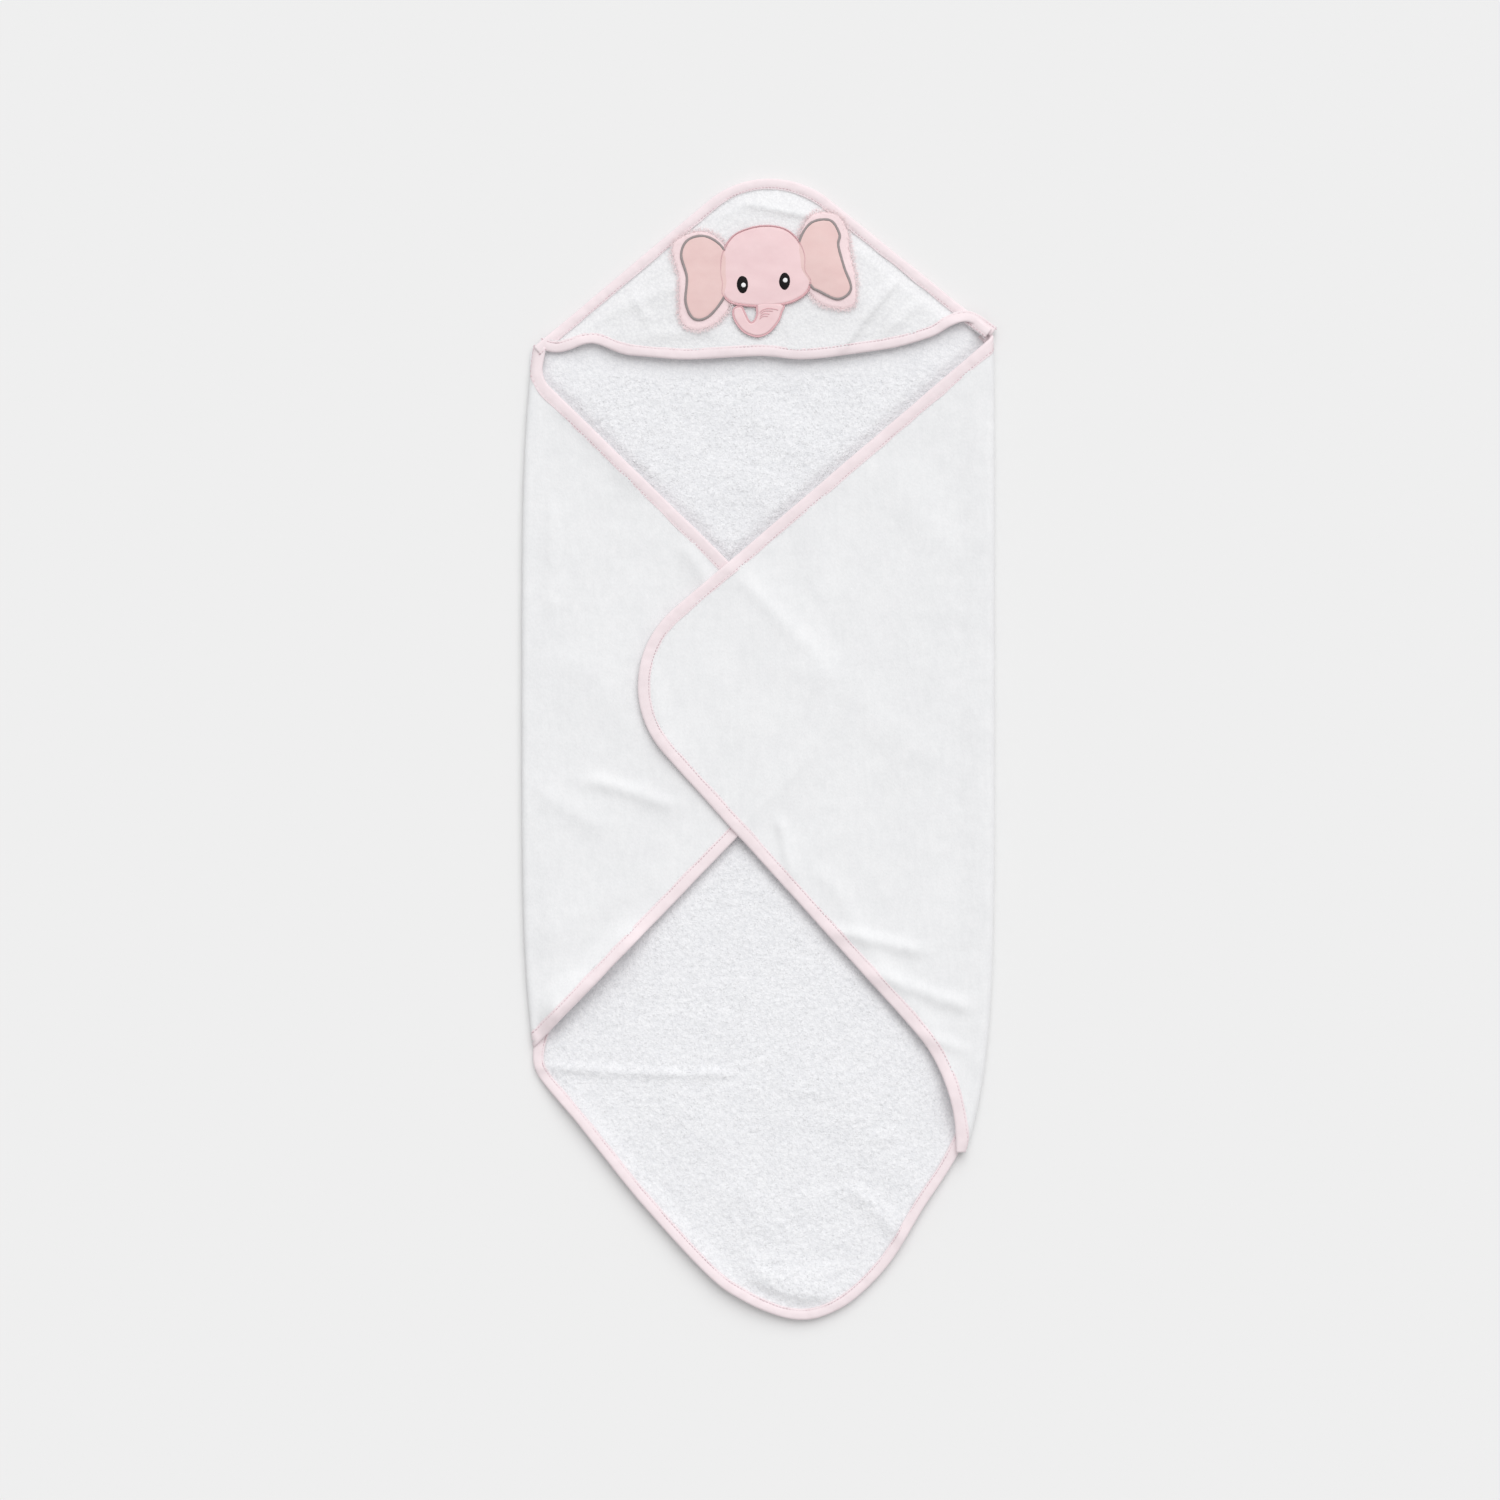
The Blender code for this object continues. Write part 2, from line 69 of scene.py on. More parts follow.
# The cloth
THICK = 4.0
LEFT_CENTRE, LEFT_INNER = 4.15, 0.15  # height of the rolled fold's middle, and its inner radius
RIGHT_CENTRE, RIGHT_INNER = 6.3, 2.3
SAG = 3.0  # how far the right wing sinks beside the left one
FOLD_TUCK = 1.5  # how far a rolled fold runs on under the back
FOLD_SLACK = 0.06  # how much flatter than round a fold lies
TAPE = 9.8  # width of the binding
SEAM = 8.2  # from the towel's edge to the seam in the binding
WING_TAPE = 1.16  # the tape lies wider than that on the wings
SHEET_INSET = 2.4  # each sheet stops this far inside the towel's edge, within its tape
TUFT = 4.6  # across one clump of loops
SHEET_GAP, WING_GAP, HOOD_GAP = 2.4, 2.0, 1.5  # steps of the grids that the sheets are made on
HOOD_RISE = 3.4  # how far the hood stands off the corner under it
HOOD_SHEET_END = 194  # the hood's cloth stops here, short of the shoulder where the right wing opens

# The stitching, and the grid on which the right wing settles
TAPE_STEP = 1.6
STITCH, STITCH_GAP, STITCH_WIDTH = 2.5, 0.8, 0.75
CELL, CELLS_FROM = 4.0, (-220, -400)


# Steady patterns ------------------------------------------------------------------------------------


def scatter(i, j, seed):
    """A steady number from 0 to 1 for each point of a lattice."""
    n = np.sin(i * 127.1 + j * 311.7 + seed * 74.7) * 43758.5453
    return n - np.floor(n)


def eased(t):
    """From 0 to 1 with a soft start and a soft end."""
    t = np.clip(t, 0.0, 1.0)
    return t * t * (3 - 2 * t)


def swell(x, y, size, seed=0):
    """Soft ups and downs, from -1 to 1."""
    u, v = x / size, y / size
    i, j = np.floor(u), np.floor(v)
    fu, fv = eased(u - i), eased(v - j)
    low = scatter(i, j, seed) * (1 - fu) + scatter(i + 1, j, seed) * fu
    high = scatter(i, j + 1, seed) * (1 - fu) + scatter(i + 1, j + 1, seed) * fu
    return 2 * (low * (1 - fv) + high * fv) - 1


def tufts(x, y, size, seed=0):
    """Clumps of loops: 1 at a crown, 0 in the gaps."""
    u, v = x / size, y / size
    i, j = np.floor(u), np.floor(v)
    nearest = np.full(np.shape(u), 9.0)
    for di in (-1, 0, 1):
        for dj in (-1, 0, 1):
            p, q = i + di, j + dj
            away = (p + scatter(p, q, seed) - u) ** 2 + (q + scatter(p, q, seed + 1) - v) ** 2
            nearest = np.minimum(nearest, away)
    return 1 - np.clip(np.sqrt(nearest), 0, 1)


def creases(x, y, rows):
    """Soft wrinkles, each (start, end, half width, height)."""
    total = np.zeros(np.shape(x))
    for (ax, ay), (bx, by), width, height in rows:
        length = hypot(bx - ax, by - ay)
        ux, uy = (bx - ax) / length, (by - ay) / length
        along = (x - ax) * ux + (y - ay) * uy
        across = (y - ay) * ux - (x - ax) * uy + swell(along, along * 0, 30) * width * 0.4
        past = np.maximum(0, np.abs(along - length / 2) - length / 2)
        total += height * np.exp(-(across / width) ** 2 - (past / (2 * width)) ** 2)
    return total


# Paths ----------------------------------------------------------------------------------------------


def rounded(corners, step=5.0):
    """A path through (x, y, radius) corners, turned with arcs."""
    points = []
    for k, (x, y, radius) in enumerate(corners):
        here = Vector((x, y))
        if radius == 0:
            points.append(here)
            continue
        back = (Vector(corners[k - 1][:2]) - here).normalized()
        on = (Vector(corners[k + 1][:2]) - here).normalized()
        half = back.angle(on) / 2
        centre = here + (back + on).normalized() * radius / sin(half)
        first = here + back * radius / tan(half) - centre
        turn = (pi - 2 * half) * (1 if back.cross(on) < 0 else -1)
        count = max(2, ceil(abs(turn) / radians(step)))
        start = atan2(first.y, first.x)
        for m in range(count + 1):
            angle = start + turn * m / count
            points.append(centre + radius * Vector((cos(angle), sin(angle))))
    return np.array(points)


def smooth(points, closed=False, pieces=8):
    """A smooth path through a few points."""
    p = np.array(points, float)
    count = len(p)
    t = (np.arange(pieces) / pieces)[:, None]
    path = []
    for i in range(count if closed else count - 1):
        if closed:
            a, b, c, d = (p[(i + k) % count] for k in (-1, 0, 1, 2))
        else:
            a, b, c, d = p[max(i - 1, 0)], p[i], p[i + 1], p[min(i + 2, count - 1)]
        path.append(0.5 * (2 * b + (c - a) * t + (2 * a - 5 * b + 4 * c - d) * t**2
                           + (3 * b - a - 3 * c + d) * t**3))
    if not closed:
        path.append(p[-1:])
    return np.concatenate(path)


def spaced(path, gap, closed=False):
    """The same path with its points a steady gap apart."""
    p = np.concatenate([path, path[:1]]) if closed else path
    run = np.concatenate([[0], np.cumsum(np.hypot(*np.diff(p, axis=0).T))])
    at = np.linspace(0, run[-1], max(3, round(run[-1] / gap)) + 1)
    at = at[:-1] if closed else at
    return np.stack([np.interp(at, run, p[:, 0]), np.interp(at, run, p[:, 1])], 1)


def leftward(path, closed=False):
    """The direction to the left of travel at each point."""
    if closed:
        along = np.roll(path, -1, 0) - np.roll(path, 1, 0)
    else:
        along = np.gradient(path, axis=0)
    along /= np.maximum(np.hypot(*along.T), 1e-9)[:, None]
    return np.stack([-along[:, 1], along[:, 0]], 1)


def walk(path, gap, closed=False, keep=None):
    """Points a steady gap apart along a path, where keep allows them, and the direction to the left there."""
    line = spaced(path, gap, closed)
    aside = leftward(line, closed)
    if keep is not None:
        kept = keep(line[:, 0], line[:, 1])
        line, aside = line[kept], aside[kept]
    return line, aside


def beside(path, x, y, closed=False):
    """For each point, how far it lies to the left of the path, and the nearest point on the path."""
    a = path if closed else path[:-1]
    b = np.roll(path, -1, 0) if closed else path[1:]
    best = np.full(np.shape(x), 1e18)
    side, nx, ny = np.zeros(np.shape(x)), np.zeros(np.shape(x)), np.zeros(np.shape(x))
    for (ax, ay), (bx, by) in zip(a, b):
        ux, uy = bx - ax, by - ay
        t = np.clip(((x - ax) * ux + (y - ay) * uy) / max(ux * ux + uy * uy, 1e-12), 0, 1)
        px, py = ax + t * ux, ay + t * uy
        away = (x - px) ** 2 + (y - py) ** 2
        closer = away < best
        best = np.where(closer, away, best)
        side = np.where(closer, ux * (y - ay) - uy * (x - ax), side)
        nx, ny = np.where(closer, px, nx), np.where(closer, py, ny)
    return np.sign(side) * np.sqrt(best), nx, ny


def from_hood(points):
    """Points of the hood's drawing, measured from the middle of the line between the shoulders."""
    return [(x, SHOULDER_Y + y, *rest) for x, y, *rest in points]


def left_fold(y):
    """How far out the left fold lies; it draws in a little at its ends."""
    middle, half = (SHOULDER_Y + LEFT_HEEL_Y) / 2, (SHOULDER_Y - LEFT_HEEL_Y) / 2
    return FOLD_X - 10.0 * np.clip(np.abs((y - middle) / half), 0, 1) ** 4


def right_fold(y):
    """How far out the right fold lies; it rounds in at its lower end."""
    top = SHOULDER_Y * 0.3
    return FOLD_X - 26.0 * np.clip(np.abs(y - top) / (top - RIGHT_HEEL_Y), 0, 1) ** 6


# Each path runs along the outer edge of its tape, with the cloth on its left.
BOTTOM = smooth([(-188, LEFT_HEEL_Y + 28), (-194.5, LEFT_HEEL_Y + 10), (-197, LEFT_HEEL_Y - 4),
                 (-195, LEFT_HEEL_Y - 17), (-186, LEFT_HEEL_Y - 31), (-159, -325), (-102, -396), (-44, -459),
                 (-15, -480), (13, -493), (38, -498), (62, -493), (88, -477), (117, -446), (145, -400),
                 (168, RIGHT_HEEL_Y - 12), (179, RIGHT_HEEL_Y + 9), (187, RIGHT_HEEL_Y + 26)])
# The bottom edge carried on past both folds, to tell what lies inside it.
BACK_EDGE = np.concatenate([[(-600, LEFT_HEEL_Y + 300), (-FOLD_X + 2, LEFT_HEEL_Y + 66)], BOTTOM,
                            [(600, RIGHT_HEEL_Y + 60)]])
LEFT_WING = rounded([(-FOLD_X - 3, LEFT_HEEL_Y - 7, 0), (-FOLD_X + 12, LEFT_HEEL_Y + 3, 12),
                     (98, 44, 78), (-FOLD_X + 17, SHOULDER_Y - 25, 22), (-FOLD_X + 22, SHOULDER_Y + 1, 0)])
RIGHT_WING = rounded([(FOLD_X + 14, SHOULDER_Y + 25, 0), (-143, 64, 88),
                      (FOLD_X - 36, RIGHT_HEEL_Y + 70, 150), (FOLD_X - 34, RIGHT_HEEL_Y + 2, 0)])
HOOD_EDGE = rounded(from_hood([(204, 17, 0), (9, 174, 83), (-196, 2, 0)]))
HEM = smooth(from_hood([(-192, 1), (-184, -2), (-174, -3), (-163, -0.5), (-150, 4), (-139, 3.5), (-120, -4),
                        (-104, -6.5), (-60, -9.5), (0, -6.5), (40, -9.5), (88, -4), (124, 2), (153, 11),
                        (167, 19), (179, 23.5), (188, 21.5), (203, 11)]))

HEAD = smooth(from_hood([(9, 107), (-7, 105), (-22, 98), (-31, 83), (-32.5, 67), (-31, 57), (-31, 47),
                         (-23, 39.5), (-9, 37), (3, 36.5), (17, 37.5), (30, 40.5), (42, 48), (46, 59),
                         (41, 68), (40.5, 82), (34.5, 95), (24, 104)]), closed=True, pieces=5)
TRUNK = smooth(from_hood([(22.5, 38), (12, 39.5), (-0.5, 38.5), (-1, 30), (-3, 24.5), (-6, 22.5), (-8.5, 25),
                          (-11.5, 31), (-14, 36), (-18, 36.5), (-21.5, 34), (-21.5, 27.5), (-18, 20.5),
                          (-12.5, 14.5), (-5, 11), (2, 10.5), (9, 13.5), (14.5, 19), (18.5, 25),
                          (20.5, 31)]), closed=True, pieces=4)
TRUNK_CREASES = {"upper": [[(1.6, 31.2), (4, 33.3), (8, 34.6), (13, 34.4), (17.6, 33.4)],
                           [(2.3, 29.9), (5, 32.1), (9, 32.6), (13, 32.2)]],
                 "lower": [[(1.8, 27.6), (5, 30), (10, 29.8)], [(1.4, 25.6), (4.5, 27.8), (8.5, 27.8)]]}
EARS = {
    "left": {"face": [(-24, 68), (-31, 88), (-46, 98), (-61, 95), (-67, 82), (-62, 62), (-63, 40),
                      (-56, 26), (-43, 28), (-29, 46)],
             "backing": [(-24, 68), (-30, 92), (-49, 103), (-70, 96), (-75, 84), (-69, 62), (-68, 26),
                         (-54, 16), (-34, 24), (-24, 40)],
             "eye": (-13.4, 55.6), "glint": (-12.7, 55.0)},
    "right": {"face": [(34, 75), (46, 55), (53, 50), (70, 43), (81, 52), (75, 71), (70, 90), (71, 100),
                       (63, 112), (47, 110), (37, 96)],
              "backing": [(34, 75), (44, 50), (59, 37), (83, 37), (85, 62), (80, 88), (79, 100),
                          (70, 117), (48, 118), (36, 99)],
              "eye": (23.2, 58.4), "glint": (23.7, 59.2)},
}


# How the cloth lies ---------------------------------------------------------------------------------

LEFT_CREASES = [((-138, -31), (-86, -44), 7, 2.4), ((-60, 166), (-33, 131), 7, 2.0),
                ((-182, 201), (-180, 131), 6, 1.4), ((-150, 60), (-110, 20), 16, 1.0),
                ((-170, -160), (-120, -120), 14, 1.2), ((-182, -238), (-118, -172), 12, 11.0),
                ((-165, 290), (-110, 240), 9, 2.0), ((-195, -40), (-150, -60), 10, 1.2)]
RIGHT_CREASES = [((-20, 153), (37, 96), 7, 0.9), ((19, -70), (28, -105), 5, 2.4),
                 ((72, -162), (132, -172), 6.5, 2.6), ((106, -200), (180, -222), 7, 2.8),
                 ((144, -252), (180, -262), 6, 1.8), ((60, 60), (130, 10), 18, 1.2),
                 ((30, 210), (60, 150), 16, 1.0), ((110, 230), (170, 180), 18, 1.2),
                 ((-95, 60), (-80, 10), 8, 1.8), ((60, -118), (150, -240), 9, 1.5)]
HOOD_CREASES = [((128, 422), (76, 352), 4.5, 2.8), ((-51, 487), (40, 468), 4, 2.2),
                ((-72, 452), (-34, 470), 4, 2.2), ((-150, 372), (-84, 402), 7, 1.8),
                ((112, 442), (156, 392), 5, 2.0), ((-30, 346), (60, 352), 10, 1.2),
                ((95, 470), (60, 484), 4, 1.6), ((-120, 412), (-100, 380), 5, 1.6),
                ((150, 400), (120, 372), 5, 1.5), ((-90, 360), (-40, 366), 6, 1.2)]
BACK_CREASES = [((-186, -279), (-33, -283), 4.5, 2.0), ((-20, 230), (60, 210), 20, 1.2),
                ((-60, -330), (20, -420), 24, 1.4), ((60, -300), (120, -360), 22, 1.4),
                ((90, -395), (120, -420), 8, 2.6), ((-30, 300), (40, 270), 18, 1.2)]


def settled():
    """The height of the right wing's lower face: it sinks onto what lies under it and tents over the left
    wing's edges, held up along its own fold. Returns its values on a grid over the towel."""
    x, y = np.meshgrid(np.arange(CELLS_FROM[0], 224, CELL), np.arange(CELLS_FROM[1], 404, CELL))
    over_left = eased(beside(LEFT_WING, x, y)[0] / 3.0)
    rest = RIGHT_CENTRE + RIGHT_INNER - SAG * (1 - over_left)
    held = x > right_fold(y) - RIGHT_CENTRE - 3
    height = np.where(held, RIGHT_CENTRE + RIGHT_INNER, rest)
    for _ in range(160):
        p = np.pad(height, 1, mode="edge")
        level = (p[1:-1, :-2] + p[1:-1, 2:] + p[:-2, 1:-1] + p[2:, 1:-1]) / 4
        height = np.where(held, height, np.maximum(rest, level - 0.02))
    return height


RIGHT_HEIGHT = settled()


def sampled(field, x, y):
    """Values of a field on the settling grid, read between its points."""
    u = np.clip((x - CELLS_FROM[0]) / CELL, 0, field.shape[1] - 1.001)
    v = np.clip((y - CELLS_FROM[1]) / CELL, 0, field.shape[0] - 1.001)
    i, j = u.astype(int), v.astype(int)
    fu, fv = u - i, v - j
    return ((field[j, i] * (1 - fu) + field[j, i + 1] * fu) * (1 - fv)
            + (field[j + 1, i] * (1 - fu) + field[j + 1, i + 1] * fu) * fv)


def on_back(x, y, n):
    """The back lies on the floor. Its lower edges curl up a little, and it puffs up before its tip."""
    ridge = y + 473 + 0.22 * (x - 30) - 0.0045 * (x - 30) ** 2
    tip = 6.0 * np.exp(-((x - 26) / 40) ** 4 - (ridge / np.where(ridge > 0, 20, 8)) ** 2)
    relief = tip + creases(x, y, BACK_CREASES) + 0.6 * swell(x, y, 60, 3) + 0.6
    low = beside(BACK_EDGE, x, y)[0]
    side = 3.5 + 3.5 * eased((50 - x) / 70)
    along = eased((-y - 275) / 50) * (0.75 + 0.25 * swell(y, x * 0, 70, 4))
    curl = side * along * eased((24 - low) / 24)
    return x, y, n + relief * np.clip(n / THICK, 0, 1) + curl


def rolled(x, y, n, side, start, centre, inner, lift):
    """Flat inside the fold and lifted there, then round the fold to the underside."""
    past = side * x - start
    middle = inner + THICK / 2
    angle = np.clip(past / middle, 0, pi)
    beyond = np.maximum(0, past - pi * middle)
    reach = inner + np.where(angle > pi / 2, np.clip(n, 0, THICK - 0.1), n)
    flat = past <= 0
    bulge = 1 - FOLD_SLACK * np.sin(angle)
    px = np.where(flat, x, side * (start + np.sin(angle) * reach * bulge - beyond))
    pz = np.where(flat, centre + reach + lift, centre + np.cos(angle) * reach)
    return px, y, pz


def edge_lift(path, x, y, height):
    """The bound edge of a wing stands a little clear of the cloth under it."""
    from_edge = np.maximum(0, beside(path[::2], x, y)[0])
    return height * np.exp(-from_edge / 16) * (1 + 0.3 * swell(x, y, 45, 12))


def on_left(x, y, n):
    """The left wing, folded in over the back."""
    start = left_fold(y) - LEFT_CENTRE
    clear = eased((start + x) / 22)
    lift = creases(x, y, LEFT_CREASES) + 0.5 * swell(x, y, 55, 5) + 0.5 + edge_lift(LEFT_WING, x, y, 2.6)
    return rolled(x, y, n, -1, start, LEFT_CENTRE, LEFT_INNER, lift * clear)


def on_right(x, y, n):
    """The right wing, folded in over the back and the left wing."""
    start = right_fold(y) - RIGHT_CENTRE
    clear = eased((start - x) / 26)
    heel = 5.5 * np.exp(-((x - 168) / 12) ** 2 - ((y + 305) / 24) ** 2)  # the edge stands up at the heel
    heel = heel - 3.0 * eased((-330 - y) / 18)
    lift = (sampled(RIGHT_HEIGHT, x, y) - RIGHT_CENTRE - RIGHT_INNER + heel
            + creases(x, y, RIGHT_CREASES) + 0.4 * swell(x, y, 58, 7) + 0.4
            + edge_lift(RIGHT_WING, x, y, 1.8))
    return rolled(x, y, n, 1, start, RIGHT_CENTRE, RIGHT_INNER, lift * clear)


def hood_rise(x, y):
    """How far the hood stands off the corner under it."""
    rise = HOOD_RISE
    edge = from_hood([(218, 7.4), (9, 174), (-209, -9)])
    for (ax, ay), (bx, by) in zip(edge, edge[1:]):
        length = hypot(bx - ax, by - ay)
        inside = ((bx - ax) * (y - ay) - (by - ay) * (x - ax)) / length
        rise = rise * eased((inside - 12) / 42)
    return rise


def hood_relief(x, y):
    """The hood's rise with its wrinkles, and the two places where its hem arches."""
    arches = (5.0 * np.exp(-((x - 174) / 14) ** 2 - ((y - 371) / 10) ** 2)
              + 3.0 * np.exp(-((x + 152) / 15) ** 2 - ((y - 355) / 10) ** 2))
    inside = eased((beside(HOOD_EDGE[::2], x, y)[0] - 8) / 22)
    wrinkles = creases(x, y, HOOD_CREASES) + 0.7 * swell(x, y, 30, 9) + 0.5
    return hood_rise(x, y) + wrinkles * inside + arches


def on_hood(x, y, n):
    """The hood lies over the corner."""
    return x, y, THICK + 0.3 + n + hood_relief(x, y)


def on_hood_sheet(x, y, n):
    """The hood's cloth, which comes down into the seam along its edge."""
    down = 1 - eased((beside(HOOD_EDGE[::2], x, y)[0] - 9) / 13)
    px, py, pz = on_hood(x, y, n)
    return px, py, pz * (1 - down) + (1.6 + n * 0.75 + shoulder_rise(x)) * down


def shoulder_rise(x):
    """The hood's edge comes up at the shoulders, over the wings."""
    return np.maximum(6.5 * eased((x - 172) / 28), 4.3 * eased((-x - 172) / 22))


def on_edge(x, y, n):
    """The hood's edge: tape round both layers of cloth."""
    return x, y, n * 1.35 + shoulder_rise(x)


def on_face(x, y, n):
    """Applied pieces lie on the hood's upper face."""
    return x, y, 2 * THICK + 0.2 + n + hood_relief(x, y)


# Meshes ---------------------------------------------------------------------------------------------


def enclosed(mesh):
    """The volume inside a mesh, below 0 where its faces look inwards."""
    mesh.calc_loop_triangles()
    corners = np.zeros(len(mesh.loop_triangles) * 3, int)
    mesh.loop_triangles.foreach_get("vertices", corners)
    points = np.zeros(len(mesh.vertices) * 3)
    mesh.vertices.foreach_get("co", points)
    a, b, c = points.reshape(-1, 3)[corners.reshape(-1, 3)].transpose(1, 0, 2)
    return float((a * np.cross(b, c)).sum())


def mesh_object(name, points, faces, finish):
    """A smooth mesh from points in millimetres and its faces."""
    mesh = bpy.data.meshes.new(name)
    mesh.from_pydata((np.asarray(points, float) * MM).tolist(), [], faces)
    mesh.polygons.foreach_set("use_smooth", [True] * len(mesh.polygons))
    mesh.materials.append(finish)
    mesh.update()
    if enclosed(mesh) < 0:
        mesh.flip_normals()
    piece = bpy.data.objects.new(name, mesh)
    bpy.context.scene.collection.objects.link(piece)
    return piece


def grid_cloth(name, x, y, keep, lay, lower, upper, finish, under=None):
    """A closed piece of cloth on a grid of flat points; lower and upper are the heights of its faces.
    Its underside may take a finish of its own."""
    x, y = x.ravel(), y.ravel()
    number = np.cumsum(keep.ravel()) - 1
    count = int(keep.sum())
    index = np.where(keep.ravel(), number, -1).reshape(keep.shape)
    a, b, c, d = index[:-1, :-1], index[:-1, 1:], index[1:, 1:], index[1:, :-1]
    cell = (a >= 0) & (b >= 0) & (c >= 0) & (d >= 0)
    top = np.stack([a, b, c, d], -1)[cell]
    bottom = top[:, ::-1] + count
    wide = np.pad(cell, 1)
    walls = []
    for rows, cols, p, q in ((0, 1, a, b), (1, 2, b, c), (2, 1, c, d), (1, 0, d, a)):
        beyond = wide[rows:rows + cell.shape[0], cols:cols + cell.shape[1]]
        edge = cell & ~beyond
        p, q = p[edge], q[edge]
        walls.append(np.stack([p, p + count, q + count, q], -1))
    kept = keep.ravel()
    x, y = x[kept], y[kept]
    low = lower(x, y) if callable(lower) else np.full(count, lower)
    high = upper(x, y) if callable(upper) else np.full(count, upper)
    points = np.concatenate([np.stack(lay(x, y, high), 1), np.stack(lay(x, y, low), 1)])
    walls = np.concatenate(walls)
    faces = np.concatenate([top, bottom, walls])
    used = np.zeros(2 * count, bool)
    used[faces.ravel()] = True
    renumber = np.cumsum(used) - 1
    piece = mesh_object(name, points[used], renumber[faces].tolist(), finish)
    rims = np.sort(renumber[np.concatenate([walls[:, [0, 3]], walls[:, [1, 2]]])], 1)
    edges = np.zeros(len(piece.data.edges) * 2, int)
    piece.data.edges.foreach_get("vertices", edges)
    edges = np.sort(edges.reshape(-1, 2), 1)
    sharp = np.isin(edges[:, 0] * len(points) + edges[:, 1], rims[:, 0] * len(points) + rims[:, 1])
    piece.data.edges.foreach_set("use_edge_sharp", sharp)
    if under:
        piece.data.materials.append(under)
        piece.data.polygons.foreach_set("material_index",
                                        [0] * len(top) + [1] * len(bottom) + [0] * len(walls))
    return piece


def cut(outline, x, y, gap):
    """A grid's points with the ones beside a closed outline moved onto it, and which of them to keep."""
    away, nx, ny = beside(outline, x, y, closed=True)
    by = np.abs(away) < gap * 0.5
    return np.where(by, nx, x), np.where(by, ny, y), away > -gap * 0.5


def patch(name, outline, gap, lay, low, height, finish, dome, dip):
    """A pad of cloth inside a closed outline: its edge turned down, its middle raised, its face uneven."""
    lo, hi = outline.min(0) - gap, outline.max(0) + gap
    x, y = np.meshgrid(np.arange(lo[0], hi[0], gap), np.arange(lo[1], hi[1], gap))
    x, y, keep = cut(outline, x, y, gap)

    def upper(px, py):
        inside = np.maximum(0, beside(outline, px, py, closed=True)[0])
        soft = swell(px, py, 9, 4) * dip + swell(px, py, 4, 8) * dip * 0.4
        return low + height * (0.35 + 0.65 * eased(inside / 1.6)) + dome * eased(inside / 16) + soft

    return grid_cloth(name, x, y, keep, lay, low - 0.4, upper, finish)


def tube_faces(rows, cols, closed):
    """The faces of a tube of rows of points: a ring, or capped at both ends."""
    i = np.arange(rows if closed else rows - 1)[:, None]
    k = np.arange(cols)[None, :]
    here, there = i * cols, ((i + 1) % rows) * cols
    faces = np.stack([here + k, here + (k + 1) % cols, there + (k + 1) % cols, there + k], -1)
    faces = faces.reshape(-1, 4).tolist()
    if not closed:
        faces += [list(range(cols))[::-1], list(range((rows - 1) * cols, rows * cols))]
    return faces


# Across the tape, from the towel's edge: (distance in, height)
TAPE_SECTION = [(0.0, 2.1), (0.25, 3.3), (0.9, 4.0), (2.2, 4.4), (5.2, 4.5), (7.2, 4.35), (SEAM, 3.95),
                (8.8, 4.15), (9.5, 4.0), (TAPE, 3.5), (TAPE, 0.7), (9.4, 0.25), (8.8, 0.2), (SEAM, 0.35),
                (5.2, 0.05), (1.2, 0.1), (0.3, 0.9)]


def band(name, path, section, lay, finish, keep):
    """Tape along a path; its section is (distance in from the path, height)."""
    line, aside = walk(path, TAPE_STEP, keep=keep)
    run = np.arange(len(line)) * TAPE_STEP
    inset, height = (np.repeat(np.array(v)[None, :], len(line), 0) for v in zip(*section))
    inset, height = puckered(run[:, None], inset, height)
    x = line[:, :1] + aside[:, :1] * inset
    y = line[:, 1:] + aside[:, 1:] * inset
    points = np.stack([v.ravel() for v in lay(x, y, height)], 1)
    faces = [face[::-1] for face in tube_faces(*x.shape, closed=False)]
    return mesh_object(name, points, faces, finish)


def puckered(run, inset, height):
    """Tape that is drawn in at its stitches and never quite straight."""
    top = eased((height - 2) / 2)
    middle = eased(inset / 2) * eased((TAPE - inset) / 2)
    height = height + top * middle * 0.28 * swell(run, inset, 5.5, 2) + top * 0.2 * swell(run, run * 0, 17, 3)
    inset = inset + eased((inset - 4) / 4) * 0.45 * swell(run, run * 0 + 3, 13, 6)
    return inset - 0.25 * (1 - eased(inset / 2)) * swell(run, run * 0 + 9, 21, 1), height


def stitched(name, path, lay, finish, keep, inset):
    """A row of stitches, each a short rounded bar of thread."""
    pitch = STITCH + STITCH_GAP
    line, aside = walk(path, pitch, keep=keep)
    count = len(line)
    along = np.stack([aside[:, 1], -aside[:, 0]], 1)
    place = np.array([(-0.5, 0, -0.25), (-0.32, -0.5, 0), (-0.32, 0.5, 0), (-0.32, 0, 0.32),
                      (0.32, -0.5, 0), (0.32, 0.5, 0), (0.32, 0, 0.32), (0.5, 0, -0.25)])
    seat = line + aside * (inset + 0.25 * swell(np.arange(count) * pitch, np.zeros(count), 40, 2))[:, None]
    reach, side = place[:, 0] * STITCH, place[:, 1] * STITCH_WIDTH
    x = seat[:, :1] + along[:, :1] * reach + aside[:, :1] * side
    y = seat[:, 1:] + along[:, 1:] * reach + aside[:, 1:] * side
    n = THICK + np.repeat(place[None, :, 2], count, 0)
    points = np.stack([v.ravel() for v in lay(x, y, n)], 1)
    shape = [(0, 1, 3), (0, 3, 2), (0, 2, 1), (1, 4, 6, 3), (3, 6, 5, 2), (2, 5, 4, 1), (4, 7, 6), (6, 7, 5),
             (5, 7, 4)]
    faces = [[8 * m + v for v in face] for m in range(count) for face in shape]
    return mesh_object(name, points, faces, finish)


